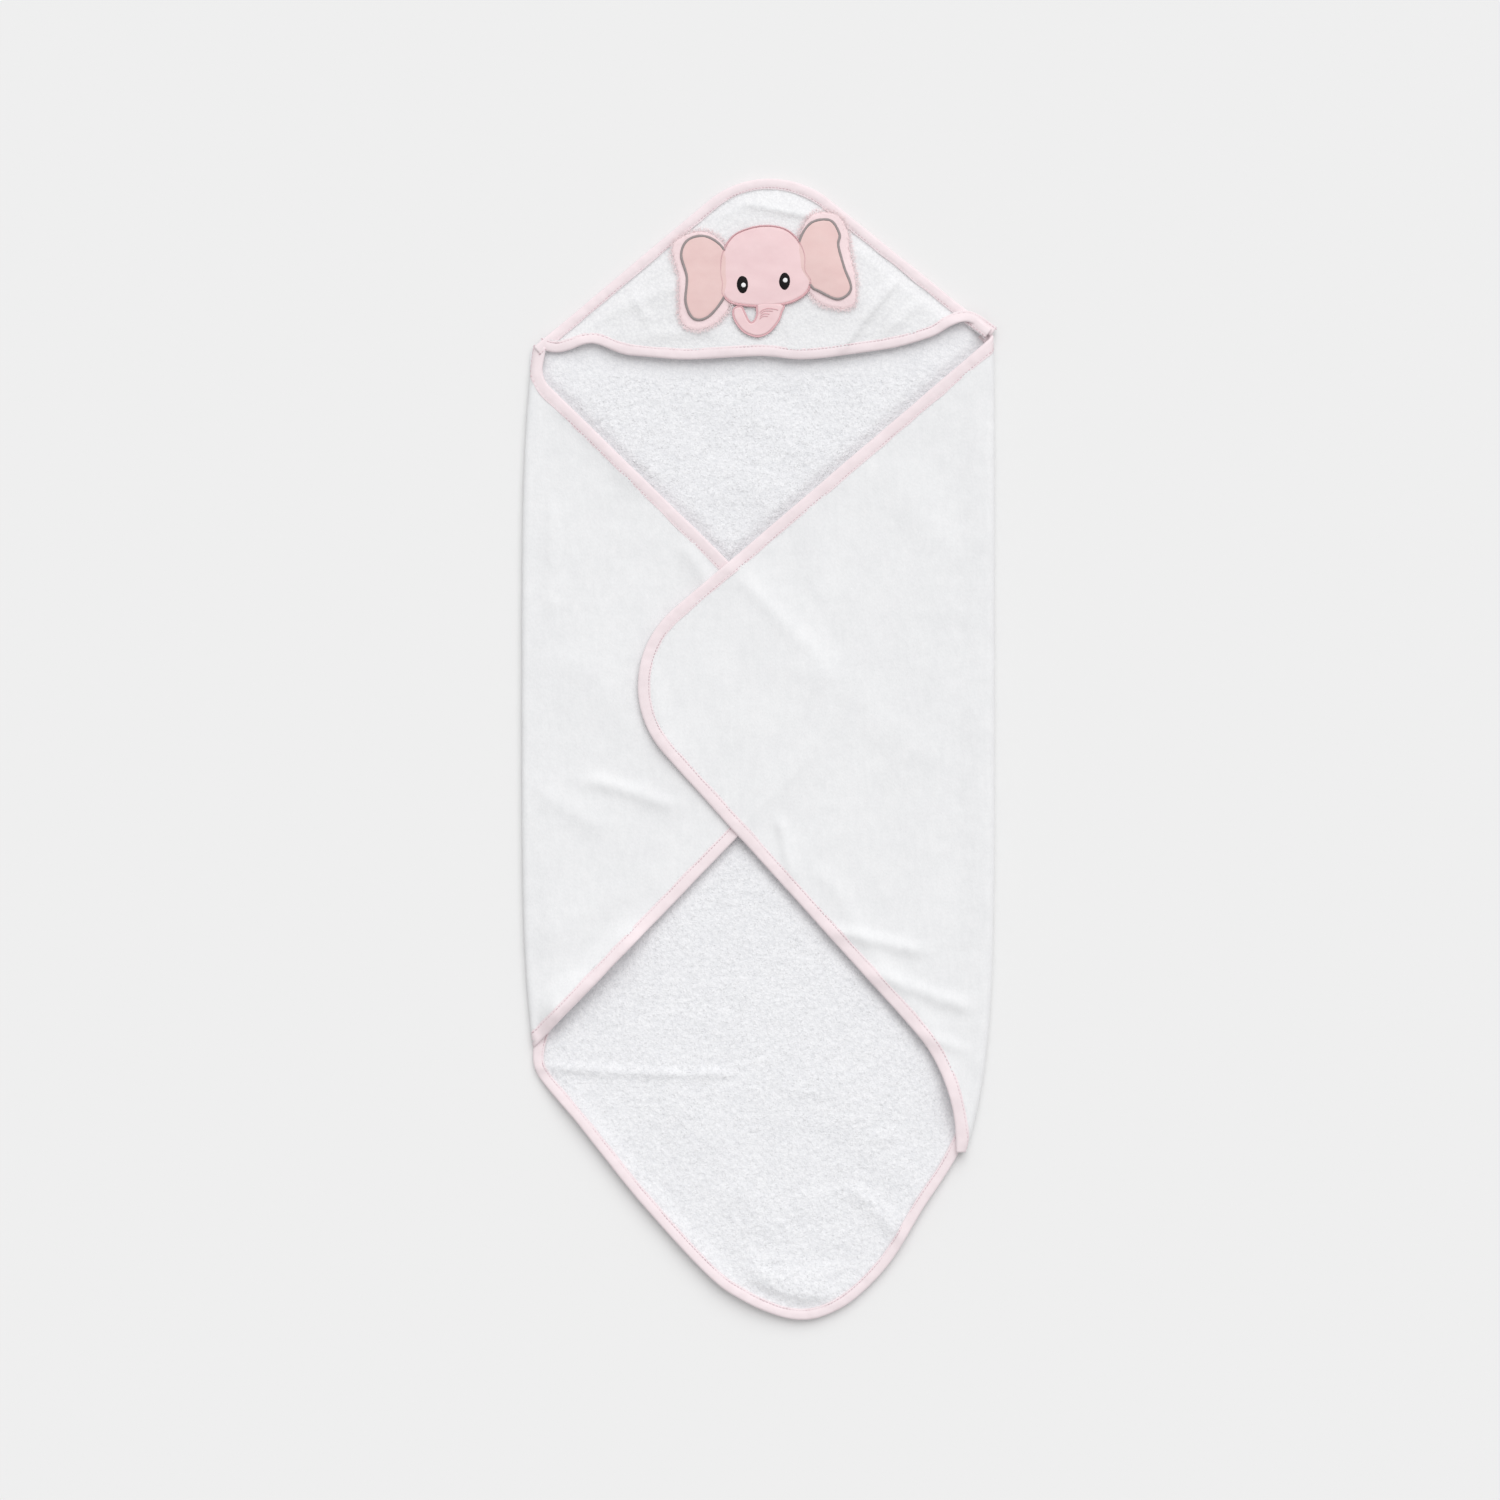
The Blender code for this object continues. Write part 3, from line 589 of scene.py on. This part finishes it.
def satin(name, path, width, height, lay, low, finish, keep=None, closed=True, pitch=0.8):
    """Close embroidery: thread laid across a line, stitch beside stitch."""
    gap = pitch / 2
    line, aside = walk(path, gap, closed)
    if keep is not None:
        kept = keep(line[:, 0], line[:, 1])
        shift = int(np.argmax(~kept & np.roll(kept, -1))) + 1
        line, aside, kept = (np.roll(v, -shift, 0) for v in (line, aside, kept))
        line, aside, closed = line[kept], aside[kept], False
    section = [(0.0, 0.0), (0.08, 0.6), (0.3, 0.92), (0.5, 1.0), (0.7, 0.92), (0.92, 0.6), (1.0, 0.0)]
    across, up = (np.array(v)[None, :] for v in zip(*section))
    rows = len(line)
    ridge = np.where(np.arange(rows) % 2 == 0, 1.0, 0.76)[:, None]
    uneven = 1 + 0.1 * swell(np.arange(rows) * gap, np.zeros(rows), 2.1, 5)[:, None]
    slant = (across - 0.5) * pitch * 0.8
    along = np.stack([aside[:, 1], -aside[:, 0]], 1)
    wide = (across - 0.5) * width * uneven
    x = line[:, :1] + aside[:, :1] * wide + along[:, :1] * slant
    y = line[:, 1:] + aside[:, 1:] * wide + along[:, 1:] * slant
    n = low + up * height * ridge
    points = np.stack([v.ravel() for v in lay(x, y, n)], 1)
    return mesh_object(name, points, tube_faces(*x.shape, closed), finish)


def strands(name, root, lean, length, lay, low, finish, random, width=0.34, rise=(0.15, 0.6)):
    """Short curved fibres that start at their roots and lean one way each."""
    count = len(root)
    curl = np.stack([-lean[:, 1], lean[:, 0]], 1)
    size = length * random.uniform(0.45, 1.15, count)
    bend = random.normal(0, 0.35, count)
    raised = random.uniform(*rise, count)
    points = []
    for t, w in ((0, 1.0), (0.4, 0.9), (0.75, 0.7), (1.0, 0.25)):
        centre = root + (lean * t + curl * (bend * t * t)[:, None]) * size[:, None]
        n = low + size * raised * np.sin(t * 2.4)
        for hand in (-0.5, 0.5):
            edge = centre + curl * (hand * w * width)
            points.append(np.stack(lay(edge[:, 0], edge[:, 1], n), 1))
    points = np.stack(points, 1).reshape(-1, 3)
    faces = [[8 * m + v for v in face] for m in range(count)
             for face in ((0, 1, 3, 2), (2, 3, 5, 4), (4, 5, 7, 6))]
    return mesh_object(name, points, faces, finish)


def fuzz(name, path, per_mm, lay, low, length, finish, seed, spread, closed=True, keep=None, inset=0.0):
    """Loose fibres along a line, leaning out to its right."""
    random = np.random.default_rng(seed)
    line, aside = walk(path, 1.0 / per_mm, closed, keep)
    turn = random.normal(0, 0.75, len(line))
    lean = -np.stack([aside[:, 0] * np.cos(turn) - aside[:, 1] * np.sin(turn),
                      aside[:, 0] * np.sin(turn) + aside[:, 1] * np.cos(turn)], 1)
    root = line + aside * (inset + random.uniform(-spread, spread, len(line)))[:, None]
    return strands(name, root, lean, length, lay, low, finish, random)


# Finishes -------------------------------------------------------------------------------------------


def linear(colour):
    """A colour as the shader takes it, from its usual red, green and blue."""
    return (*((v / 255 / 12.92 if v <= 10 else ((v / 255 + 0.055) / 1.055) ** 2.4) for v in colour), 1.0)


class Field:
    """A number that varies over a surface. Arithmetic on it adds Math nodes."""

    def __init__(self, finish, socket):
        self.finish, self.socket = finish, socket

    def math(self, operation, *values):
        return self.finish.node("Math", {"operation": operation}, dict(enumerate(values)))

    def __add__(self, other):
        return self.math("ADD", self, other)

    def __sub__(self, other):
        return self.math("SUBTRACT", self, other)

    def __rsub__(self, other):
        return self.math("SUBTRACT", other, self)

    def __mul__(self, other):
        return self.math("MULTIPLY", self, other)

    def __pow__(self, other):
        return self.math("POWER", self, other)

    __radd__, __rmul__ = __add__, __mul__


class Finish:
    """A material whose colour and surface vary."""

    def __init__(self, name, roughness, **constants):
        self.material = bpy.data.materials.new(name)
        self.material.use_nodes = True
        self.tree = self.material.node_tree
        self.shader = self.tree.nodes["Principled BSDF"]
        self.shader.inputs["Roughness"].default_value = roughness
        for socket, value in constants.items():
            self.shader.inputs[socket.replace("_", " ")].default_value = value

    def node(self, kind, settings=None, inputs=None, output=0):
        made = self.tree.nodes.new("ShaderNode" + kind)
        for name, value in (settings or {}).items():
            setattr(made, name, value)
        for name, value in (inputs or {}).items():
            if isinstance(value, Field):
                self.tree.links.new(value.socket, made.inputs[name])
            else:
                made.inputs[name].default_value = value
        return Field(self, made.outputs[output])

    def place(self, stretch=(1, 1, 1), turn=0.0):
        """Places on the piece in metres, stretched and turned."""
        at = self.node("TexCoord", output=3)
        return self.node("Mapping", inputs={"Vector": at, "Scale": stretch, "Rotation": (0, 0, turn)})

    def noise(self, size, detail=2.0, stretch=(1, 1, 1), turn=0.0):
        """Soft variation, about a size in millimetres across."""
        return self.node("TexNoise", inputs={"Vector": self.place(stretch, turn), "Scale": 1000 / size,
                                             "Detail": detail})

    def bumps(self, size, stretch=(1, 1, 1)):
        """Rounded bumps: 1 at a crown, lower towards the gaps."""
        return 1 - self.node("TexVoronoi", {"feature": "SMOOTH_F1"},
                             {"Vector": self.place(stretch), "Scale": 1000 / size, "Smoothness": 0.35})

    def tint(self, share, dark, light):
        """Base colour from dark at 0 to light at 1."""
        mixed = self.node("Mix", {"data_type": "RGBA"}, {0: share, 6: linear(dark), 7: linear(light)}, 2)
        self.tree.links.new(mixed.socket, self.shader.inputs["Base Color"])

    def relief(self, height, depth):
        """A surface that stands up by a depth in millimetres where the height is 1."""
        bump = self.node("Bump", inputs={"Height": height, "Distance": depth * MM, "Strength": 1.0})
        self.tree.links.new(bump.socket, self.shader.inputs["Normal"])


def terry(name, dark, light, depth, clump):
    """Looped cotton: clumps of loops, with painted shade in the gaps between them, where their colour is
    darker.
    """
    finish = Finish(name, 0.95, Sheen_Weight=0.2, Sheen_Roughness=0.6, Specular_IOR_Level=0.15)
    clumps = finish.bumps(clump, (1, 1, 0.6))
    loops = finish.bumps(1.5)
    patchy = finish.noise(14, 3)
    height = clumps * 0.5 + loops * 0.35 + finish.noise(0.9, 2) * 0.25
    # painted shade: the colour follows the clumps and loops and is darker in the gaps between them
    finish.tint((clumps * 0.45 + loops * 0.5 + patchy * 0.3 + 0.1) ** 1.2, dark, light)
    finish.relief(height, depth)
    return finish.material


def velour(name, dark, light, depth=0.35):
    """Terry whose loops are cut and brushed: nearly smooth, with a faint nap."""
    finish = Finish(name, 0.92, Sheen_Weight=0.5, Sheen_Roughness=0.5, Specular_IOR_Level=0.15)
    nap = finish.noise(1.6, 3, (1, 0.7, 1))
    tracks = finish.noise(5, 2, (1, 0.35, 1), 0.6)
    finish.tint(nap * 0.5 + tracks * 0.35 + finish.noise(30, 2) * 0.4, dark, light)
    finish.relief(nap * 0.6 + tracks * 0.4, depth)
    return finish.material


def tape_cloth(name, dark, light):
    """Brushed jersey tape."""
    finish = Finish(name, 0.82, Sheen_Weight=0.15, Sheen_Roughness=0.5, Specular_IOR_Level=0.2)
    knit = finish.noise(0.7, 1)
    worn = finish.noise(7, 2)
    finish.tint(worn * 0.7 + knit * 0.35, dark, light)
    finish.relief(knit * 0.5 + worn * 0.5, 0.22)
    return finish.material


def smooth_cloth(name, dark, light):
    """Close short velour, with soft hollows and painted shade in them: its colour is darker where the surface
    dips.
    """
    finish = Finish(name, 0.75, Sheen_Weight=0.2, Sheen_Roughness=0.4, Specular_IOR_Level=0.25)
    weave = finish.noise(0.55, 2)
    soft = finish.noise(16, 2, (1, 1.4, 1))
    # painted shade: the colour follows the soft hollows of the relief, darker where it dips
    finish.tint(soft * 0.8 + weave * 0.3, dark, light)
    finish.relief(weave * 0.6 + soft * 0.8, 0.16)
    return finish.material


def thread(name, dark, light, roughness=0.5, shine=0.35):
    """Lustrous thread, laid close."""
    finish = Finish(name, roughness, Specular_IOR_Level=shine)
    strand = finish.noise(0.5, 1, (1, 2.2, 1), 0.5)
    finish.tint(strand * 0.8 + finish.noise(3, 1) * 0.3, dark, light)
    finish.relief(strand, 0.12)
    return finish.material


INNER_TERRY = terry("inner_terry", (214, 215, 219), (239, 239, 241), 0.7, 3.6)
OUTER_TERRY = velour("outer_terry", (214, 215, 217), (238, 238, 239))
# painted shade: the hood is the same white terry as the inner face, coloured a little darker because it faces
# the light more
HOOD_TERRY = terry("hood_terry", (212, 212, 215), (234, 234, 235), 0.45, 3.0)
TAPE_CLOTH = tape_cloth("pink_tape", (228, 213, 216), (239, 227, 230))
SEAM_THREAD = thread("seam_thread", (214, 186, 193), (232, 210, 215))
PLUSH = velour("pink_plush", (228, 203, 206), (240, 220, 222), 0.6)
PLUSH_FIBRE = velour("pink_fibre", (232, 209, 212), (241, 225, 226), 0.1)
WHITE_FIBRE = velour("white_fibre", (226, 226, 228), (238, 238, 239), 0.1)
EAR_CLOTH = smooth_cloth("ear_cloth", (218, 183, 181), (231, 203, 200))
FACE_CLOTH = smooth_cloth("face_cloth", (225, 192, 195), (238, 211, 213))
GREY_THREAD = thread("grey_embroidery", (118, 109, 109), (172, 162, 162))
PINK_THREAD = thread("pink_embroidery", (208, 160, 166), (234, 194, 199))
BLACK_THREAD = thread("black_embroidery", (9, 7, 8), (30, 26, 27), 0.6, shine=0.12)
WHITE_THREAD = thread("white_embroidery", (226, 226, 228), (242, 242, 242), 0.5)


# The towel ------------------------------------------------------------------------------------------


def inner_pile(x, y):
    """The height of the inner face of the back and the corner, lower beside the tape."""
    edge = np.minimum(beside(BACK_EDGE, x, y)[0], beside(HOOD_EDGE, x, y)[0])
    level = 3.1 + 0.9 * tufts(x, y, TUFT) + 0.3 * swell(x, y, 13, 2)
    beyond = np.minimum(np.abs(beside(LEFT_WING[::2], x, y)[0]), np.abs(beside(RIGHT_WING[::2], x, y)[0]))
    pressed = 1 - 0.5 * np.exp(-(beyond / 6.5) ** 2)
    return level * pressed * np.clip(1 - 0.5 * np.exp((6 - edge) / 5), 0.5, 1)


def back_sheet():
    """The towel's back, from its lower tip up to the hood's crease and out to the folds."""
    y, across = np.meshgrid(np.arange(-502, SPLIT_Y + SHEET_GAP, SHEET_GAP), np.linspace(0, 1, 172),
                            indexing="ij")
    y = np.minimum(y, SPLIT_Y)
    left, right = LEFT_CENTRE - left_fold(y), right_fold(y) - RIGHT_CENTRE
    x = left + (right - left) * across
    keep = beside(BACK_EDGE, x, y)[0] > SHEET_INSET
    return grid_cloth("back_sheet", x, y, keep, on_back, 0.15, inner_pile, INNER_TERRY,
                      OUTER_TERRY)


def wing_sheet(name, side, path, fold, centre, inner, lay, reach, ends, seed):
    """A wing and the rolled fold that joins it to the back."""
    turn = pi * (inner + THICK / 2) + FOLD_TUCK
    y, s = np.meshgrid(np.arange(-400, 372, WING_GAP), np.arange(-reach, turn + WING_GAP, WING_GAP),
                       indexing="ij")
    s = np.minimum(s, turn)
    x = side * (fold(y) - centre + s)
    keep = (beside(path, x, y)[0] > SHEET_INSET) & (y > ends[0]) & (y < ends[1])

    def upper(px, py):
        return 3.75 + 0.22 * tufts(px, py, 3.2, seed) + 0.16 * swell(px, py, 8, seed)

    def lower(px, py):
        before_fold = fold(py) - centre - side * px
        return 0.75 - 0.75 * tufts(px, py, TUFT, seed + 3) * eased(before_fold / 10 + 0.2)

    return grid_cloth(name, x, y, keep, lay, lower, upper, OUTER_TERRY, INNER_TERRY)


def corner_sheet():
    """The towel's top corner, which lies under the hood."""
    y, x = np.meshgrid(np.arange(SPLIT_Y, 505, SHEET_GAP), np.arange(-204, 206, SHEET_GAP), indexing="ij")
    keep = (beside(HOOD_EDGE, x, y)[0] > SHEET_INSET) & (np.abs(x) < 200.5)
    return grid_cloth("corner_sheet", x, y, keep, on_back, 0.15, inner_pile, INNER_TERRY,
                      OUTER_TERRY)


def hood_sheet():
    """The hood's own triangle of cloth."""
    y, x = np.meshgrid(np.arange(330, 500, HOOD_GAP), np.arange(-204, 212, HOOD_GAP), indexing="ij")
    keep = (beside(HOOD_EDGE, x, y)[0] > 2.6) & (beside(HEM, x, y)[0] > 2.6) & (x < HOOD_SHEET_END)

    def upper(px, py):
        return 3.55 + 0.5 * tufts(px, py, 3.0, 5) + 0.2 * swell(px, py, 7, 6)

    return grid_cloth("hood_sheet", x, y, keep, on_hood_sheet, 0.3, upper, HOOD_TERRY,
                      INNER_TERRY)


def pile_loops(count=15000):
    """Single loops that stand out of the inner face where the wings leave it bare."""
    random = np.random.default_rng(5)
    x, y = random.uniform(-200, 200, count * 4), random.uniform(-495, 345, count * 4)
    bare = ((beside(BACK_EDGE, x, y)[0] > 10) & (beside(LEFT_WING, x, y)[0] < -2)
            & (beside(RIGHT_WING, x, y)[0] < -2) & (y < SPLIT_Y))
    x, y = x[bare][:count], y[bare][:count]
    turn = random.uniform(0, 2 * pi, len(x))

    def lay(px, py, n):
        return on_back(px, py, n + inner_pile(px, py))

    lean = np.stack([np.cos(turn), np.sin(turn)], 1)
    return strands("back_pile_loops", np.stack([x, y], 1), lean, 2.2, lay, -0.1, WHITE_FIBRE,
                   random, width=0.42, rise=(0.2, 0.5))


def inside_folds(x, y):
    """The reach of the bottom tape: it ends at the folds, as each tape ends where its cloth does."""
    return (x > -198.5) & (x < right_fold(y) - 1)


def left_reach(x, y):
    """A wing's tape goes on round its fold."""
    return -x < left_fold(y) - LEFT_CENTRE + pi * (LEFT_INNER + THICK / 2) + 1


def right_reach(x, y):
    return x < right_fold(y) - RIGHT_CENTRE + pi * (RIGHT_INNER + THICK / 2) + 1


def hood_reach(x, y):
    """Everything on the hood stops at its crease."""
    return y > CREASE_Y


def hem_reach(x, y):
    return (beside(HOOD_EDGE, x, y)[0] > 1.0) & (y > CREASE_Y)


def bound(name, path, lay, keep, nodes, spread=1.0):
    """The tape along an edge, the stitches that hold it, and the loops that stand over its inner edge."""
    section = [(inset * spread, height) for inset, height in TAPE_SECTION]
    tape = band(name + "_binding_tape", path, section, lay, TAPE_CLOTH, keep)
    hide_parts(nodes[0])
    row = stitched(name + "_seam", path, lay, SEAM_THREAD, keep, SEAM * spread)
    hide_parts(nodes[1])
    loops = fuzz(name + "_loops", path, 0.9, lay, 3.6, 1.8, WHITE_FIBRE, len(name), spread=0.4,
                 closed=False, keep=keep, inset=TAPE * spread + 0.9)
    return [tape, row, loops]


def dome(name, centre, radii, height, lay, low, finish, slot, ridge):
    """A small embroidered oval, its threads lying side by side."""
    rings, count = 9, 44
    turn = np.arange(count) * 2 * pi / count
    share = np.repeat(np.linspace(1, 0, rings + 1)[:rings], count)
    x = centre[0] + radii[0] * share * np.tile(np.cos(turn), rings)
    y = centre[1] + radii[1] * share * np.tile(np.sin(turn), rings)
    n = low + height * (1 - share**4) + ridge * np.sin(x * 9.0) * (share < 0.95)
    x, y, n = np.append(x, centre[0]), np.append(y, centre[1]), np.append(n, low + height)
    after = [(m + 1) % count for m in range(count)]
    faces = [(k * count + m, k * count + after[m], (k + 1) * count + after[m], (k + 1) * count + m)
             for k in range(rings - 1) for m in range(count)]
    faces += [((rings - 1) * count + m, (rings - 1) * count + after[m], rings * count) for m in range(count)]
    faces.append(tuple(range(count))[::-1])
    return mesh_object(name, np.stack(lay(x, y, n), 1), faces, finish)


def joined(name, pieces):
    """Several meshes made one piece."""
    bpy.ops.object.select_all(action="DESELECT")
    for piece in pieces:
        piece.select_set(True)
    bpy.context.view_layer.objects.active = pieces[0]
    bpy.ops.object.join()
    pieces[0].name = name
    pieces[0].select_set(False)
    return pieces[0]


def ears():
    """Each ear: a plush backing with a soft edge, its face, and the grey line round the face."""
    made = []
    for side, shape in EARS.items():
        backing, face = (smooth(from_hood(shape[part]), closed=True) for part in ("backing", "face"))

        def clear_of_head(x, y):
            return beside(HEAD, x, y, closed=True)[0] < 0.4

        pad = patch(side + "_ear_plush", backing, 1.2, on_face, 0.3, 1.6, PLUSH, dome=0.7,
                    dip=0.3)
        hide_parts(side + "_ear_backing")
        edge = fuzz(side + "_ear_plush_edge", backing, 4.0, on_face, 1.2, 3.4, PLUSH_FIBRE, 31,
                    spread=1.6)
        cloth = patch(side + "_ear_cloth", face, 1.0, on_face, 2.2, 0.9, EAR_CLOTH, dome=0.3,
                      dip=0.12)
        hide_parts(side + "_ear_face")
        line = satin(side + "_ear_line", face, 2.3, 0.95, on_face, 2.6, GREY_THREAD,
                     keep=clear_of_head)
        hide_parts(side + "_ear_outline")
        made += [pad, edge, cloth, line]
    return made


def head():
    """The elephant's head and trunk with their satin lines, the creases and the eyes."""
    skin = patch("head_cloth", HEAD, 1.0, on_face, 0.4, 2.6, FACE_CLOTH, dome=0.9, dip=0.14)
    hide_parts("head_panel")
    trunk = patch("trunk_cloth", TRUNK, 0.6, on_face, 0.4, 2.9, FACE_CLOTH, dome=0.3, dip=0.08)
    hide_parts("trunk_panel")

    def off_trunk(x, y):
        return ~((x > -1) & (x < 20.5) & (y < SHOULDER_Y + 41))

    def off_head(x, y):
        return beside(HEAD, x, y, closed=True)[0] < 0.6

    line = satin("head_line", HEAD, 1.8, 2.8, on_face, 0.9, PINK_THREAD, keep=off_trunk)
    root = satin("trunk_line", TRUNK, 1.4, 0.8, on_face, 2.0, PINK_THREAD, keep=off_head)
    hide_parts("head_outline")
    made = [skin, trunk, line, root]
    for place, rows in TRUNK_CREASES.items():
        threads = [satin(f"trunk_crease_{place}_{k}", smooth(from_hood(row)), 0.7, 0.45, on_face, 3.55,
                         PINK_THREAD, closed=False, pitch=0.6)
                   for k, row in enumerate(rows)]
        crease = joined(f"trunk_crease_threads_{place}", threads)
        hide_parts(f"trunk_crease_{place}")
        made.append(crease)
    for side, shape in EARS.items():
        (at,), (glint,) = from_hood([shape["eye"]]), from_hood([shape["glint"]])
        eye = dome(side + "_eye_satin", at, (5.3, 8.0), 1.1, on_face, 3.6, BLACK_THREAD, "black_embroidery",
                   ridge=0.05)
        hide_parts(side + "_eye")
        shine = dome(side + "_eye_glint_satin", glint, (2.2, 2.2), 0.5, on_face, 4.5, WHITE_THREAD,
                     "white_embroidery", ridge=0.03)
        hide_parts(side + "_eye_glint")
        made += [eye, shine]
    fluff = fuzz("face_edge_loops", HEAD, 0.9, on_face, 0.8, 2.4, WHITE_FIBRE, 41, spread=0.6)
    chin = fuzz("trunk_edge_loops", TRUNK, 1.6, on_face, 0.8, 2.6, WHITE_FIBRE, 43, spread=0.5,
                keep=off_head)
    return made + [fluff, chin]


def assemble():
    """Each cloth with the pieces on it. The back's and the hood's pieces are attached to what they move with;
    the wings' and the corner's are left unattached.
    """
    back = back_sheet()
    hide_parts("back_panel")
    edge = bound("bottom", BOTTOM, on_back, inside_folds, ("bottom_binding", "bottom_stitching"))
    edge.append(pile_loops())
    for piece in [back, *edge]:
        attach(piece, "towel_back")

    wings = [("left", -1, LEFT_WING, left_fold, LEFT_CENTRE, LEFT_INNER, on_left, left_reach, 300,
              (LEFT_HEEL_Y - 6, SHOULDER_Y + 2), 11, (0.29, 0.62), 0.094),
             ("right", 1, RIGHT_WING, right_fold, RIGHT_CENTRE, RIGHT_INNER, on_right, right_reach, 320,
              (RIGHT_HEEL_Y + 4, SHOULDER_Y + 12), 17, (0.33, 0.71), 0.12)]
    for side, sign, path, fold, centre, inner, lay, keep, reach, ends, seed, flat, area in wings:
        cloth = wing_sheet(side + "_wing_sheet", sign, path, fold, centre, inner, lay, reach, ends, seed)
        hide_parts(side + "_wing_panel")
        edge = bound(side + "_wing", path, lay, keep, (side + "_wing_binding", side + "_wing_stitching"),
                     spread=WING_TAPE)
        for piece in [cloth, *edge]:
            side + "_wing"
            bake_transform(piece)

    corner = corner_sheet()
    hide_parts("corner_panel")
    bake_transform(corner)
    hood = hood_sheet()
    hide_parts("hood_panel")
    edge = bound("hood_edge", HOOD_EDGE, on_edge, hood_reach, ("hood_edge_binding", "hood_edge_stitching"))
    hem = bound("hood_hem", HEM, on_hood, hem_reach, ("hood_hem_binding", "hood_hem_stitching"))
    for piece in [hood, *edge, *hem, *ears(), *head()]:
        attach(piece, "hood")


def studio():
    """A pale floor under soft light that falls a little from beyond the hood."""
    finish = Finish("pale_floor", 0.9, Specular_IOR_Level=0.1)
    finish.shader.inputs["Base Color"].default_value = linear((231, 231, 231))
    far = 60000
    floor = mesh_object("floor", [(-far, -far, 0), (far, -far, 0), (far, far, 0), (-far, far, 0)],
                        [(0, 1, 2, 3)], finish.material)
    world = bpy.data.worlds.new("studio")
    bpy.context.scene.world = world
    world.use_nodes = True
    world.node_tree.nodes["Background"].inputs["Color"].default_value = (1, 1, 1, 1)
    world.node_tree.nodes["Background"].inputs["Strength"].default_value = 0.63
    sun = bpy.data.lights.new("soft_light", "SUN")
    sun.energy = 1.9
    sun.angle = radians(55)
    lamp = bpy.data.objects.new("soft_light", sun)
    lamp.rotation_euler = (-radians(42), 0, -radians(14))
    bpy.context.scene.collection.objects.link(lamp)
    camera = bpy.data.cameras.new("camera")
    camera.lens = 110
    seen = bpy.data.objects.new("camera", camera)
    wide = 1.311  # metres across the view at the floor
    seen.location = (-0.007, 0.0, wide * camera.lens / 36 + 0.006)
    camera.clip_end = 20
    bpy.context.scene.collection.objects.link(seen)
    bpy.context.scene.camera = seen
    bpy.context.scene.view_settings.view_transform = "Standard"


studio()
assemble()
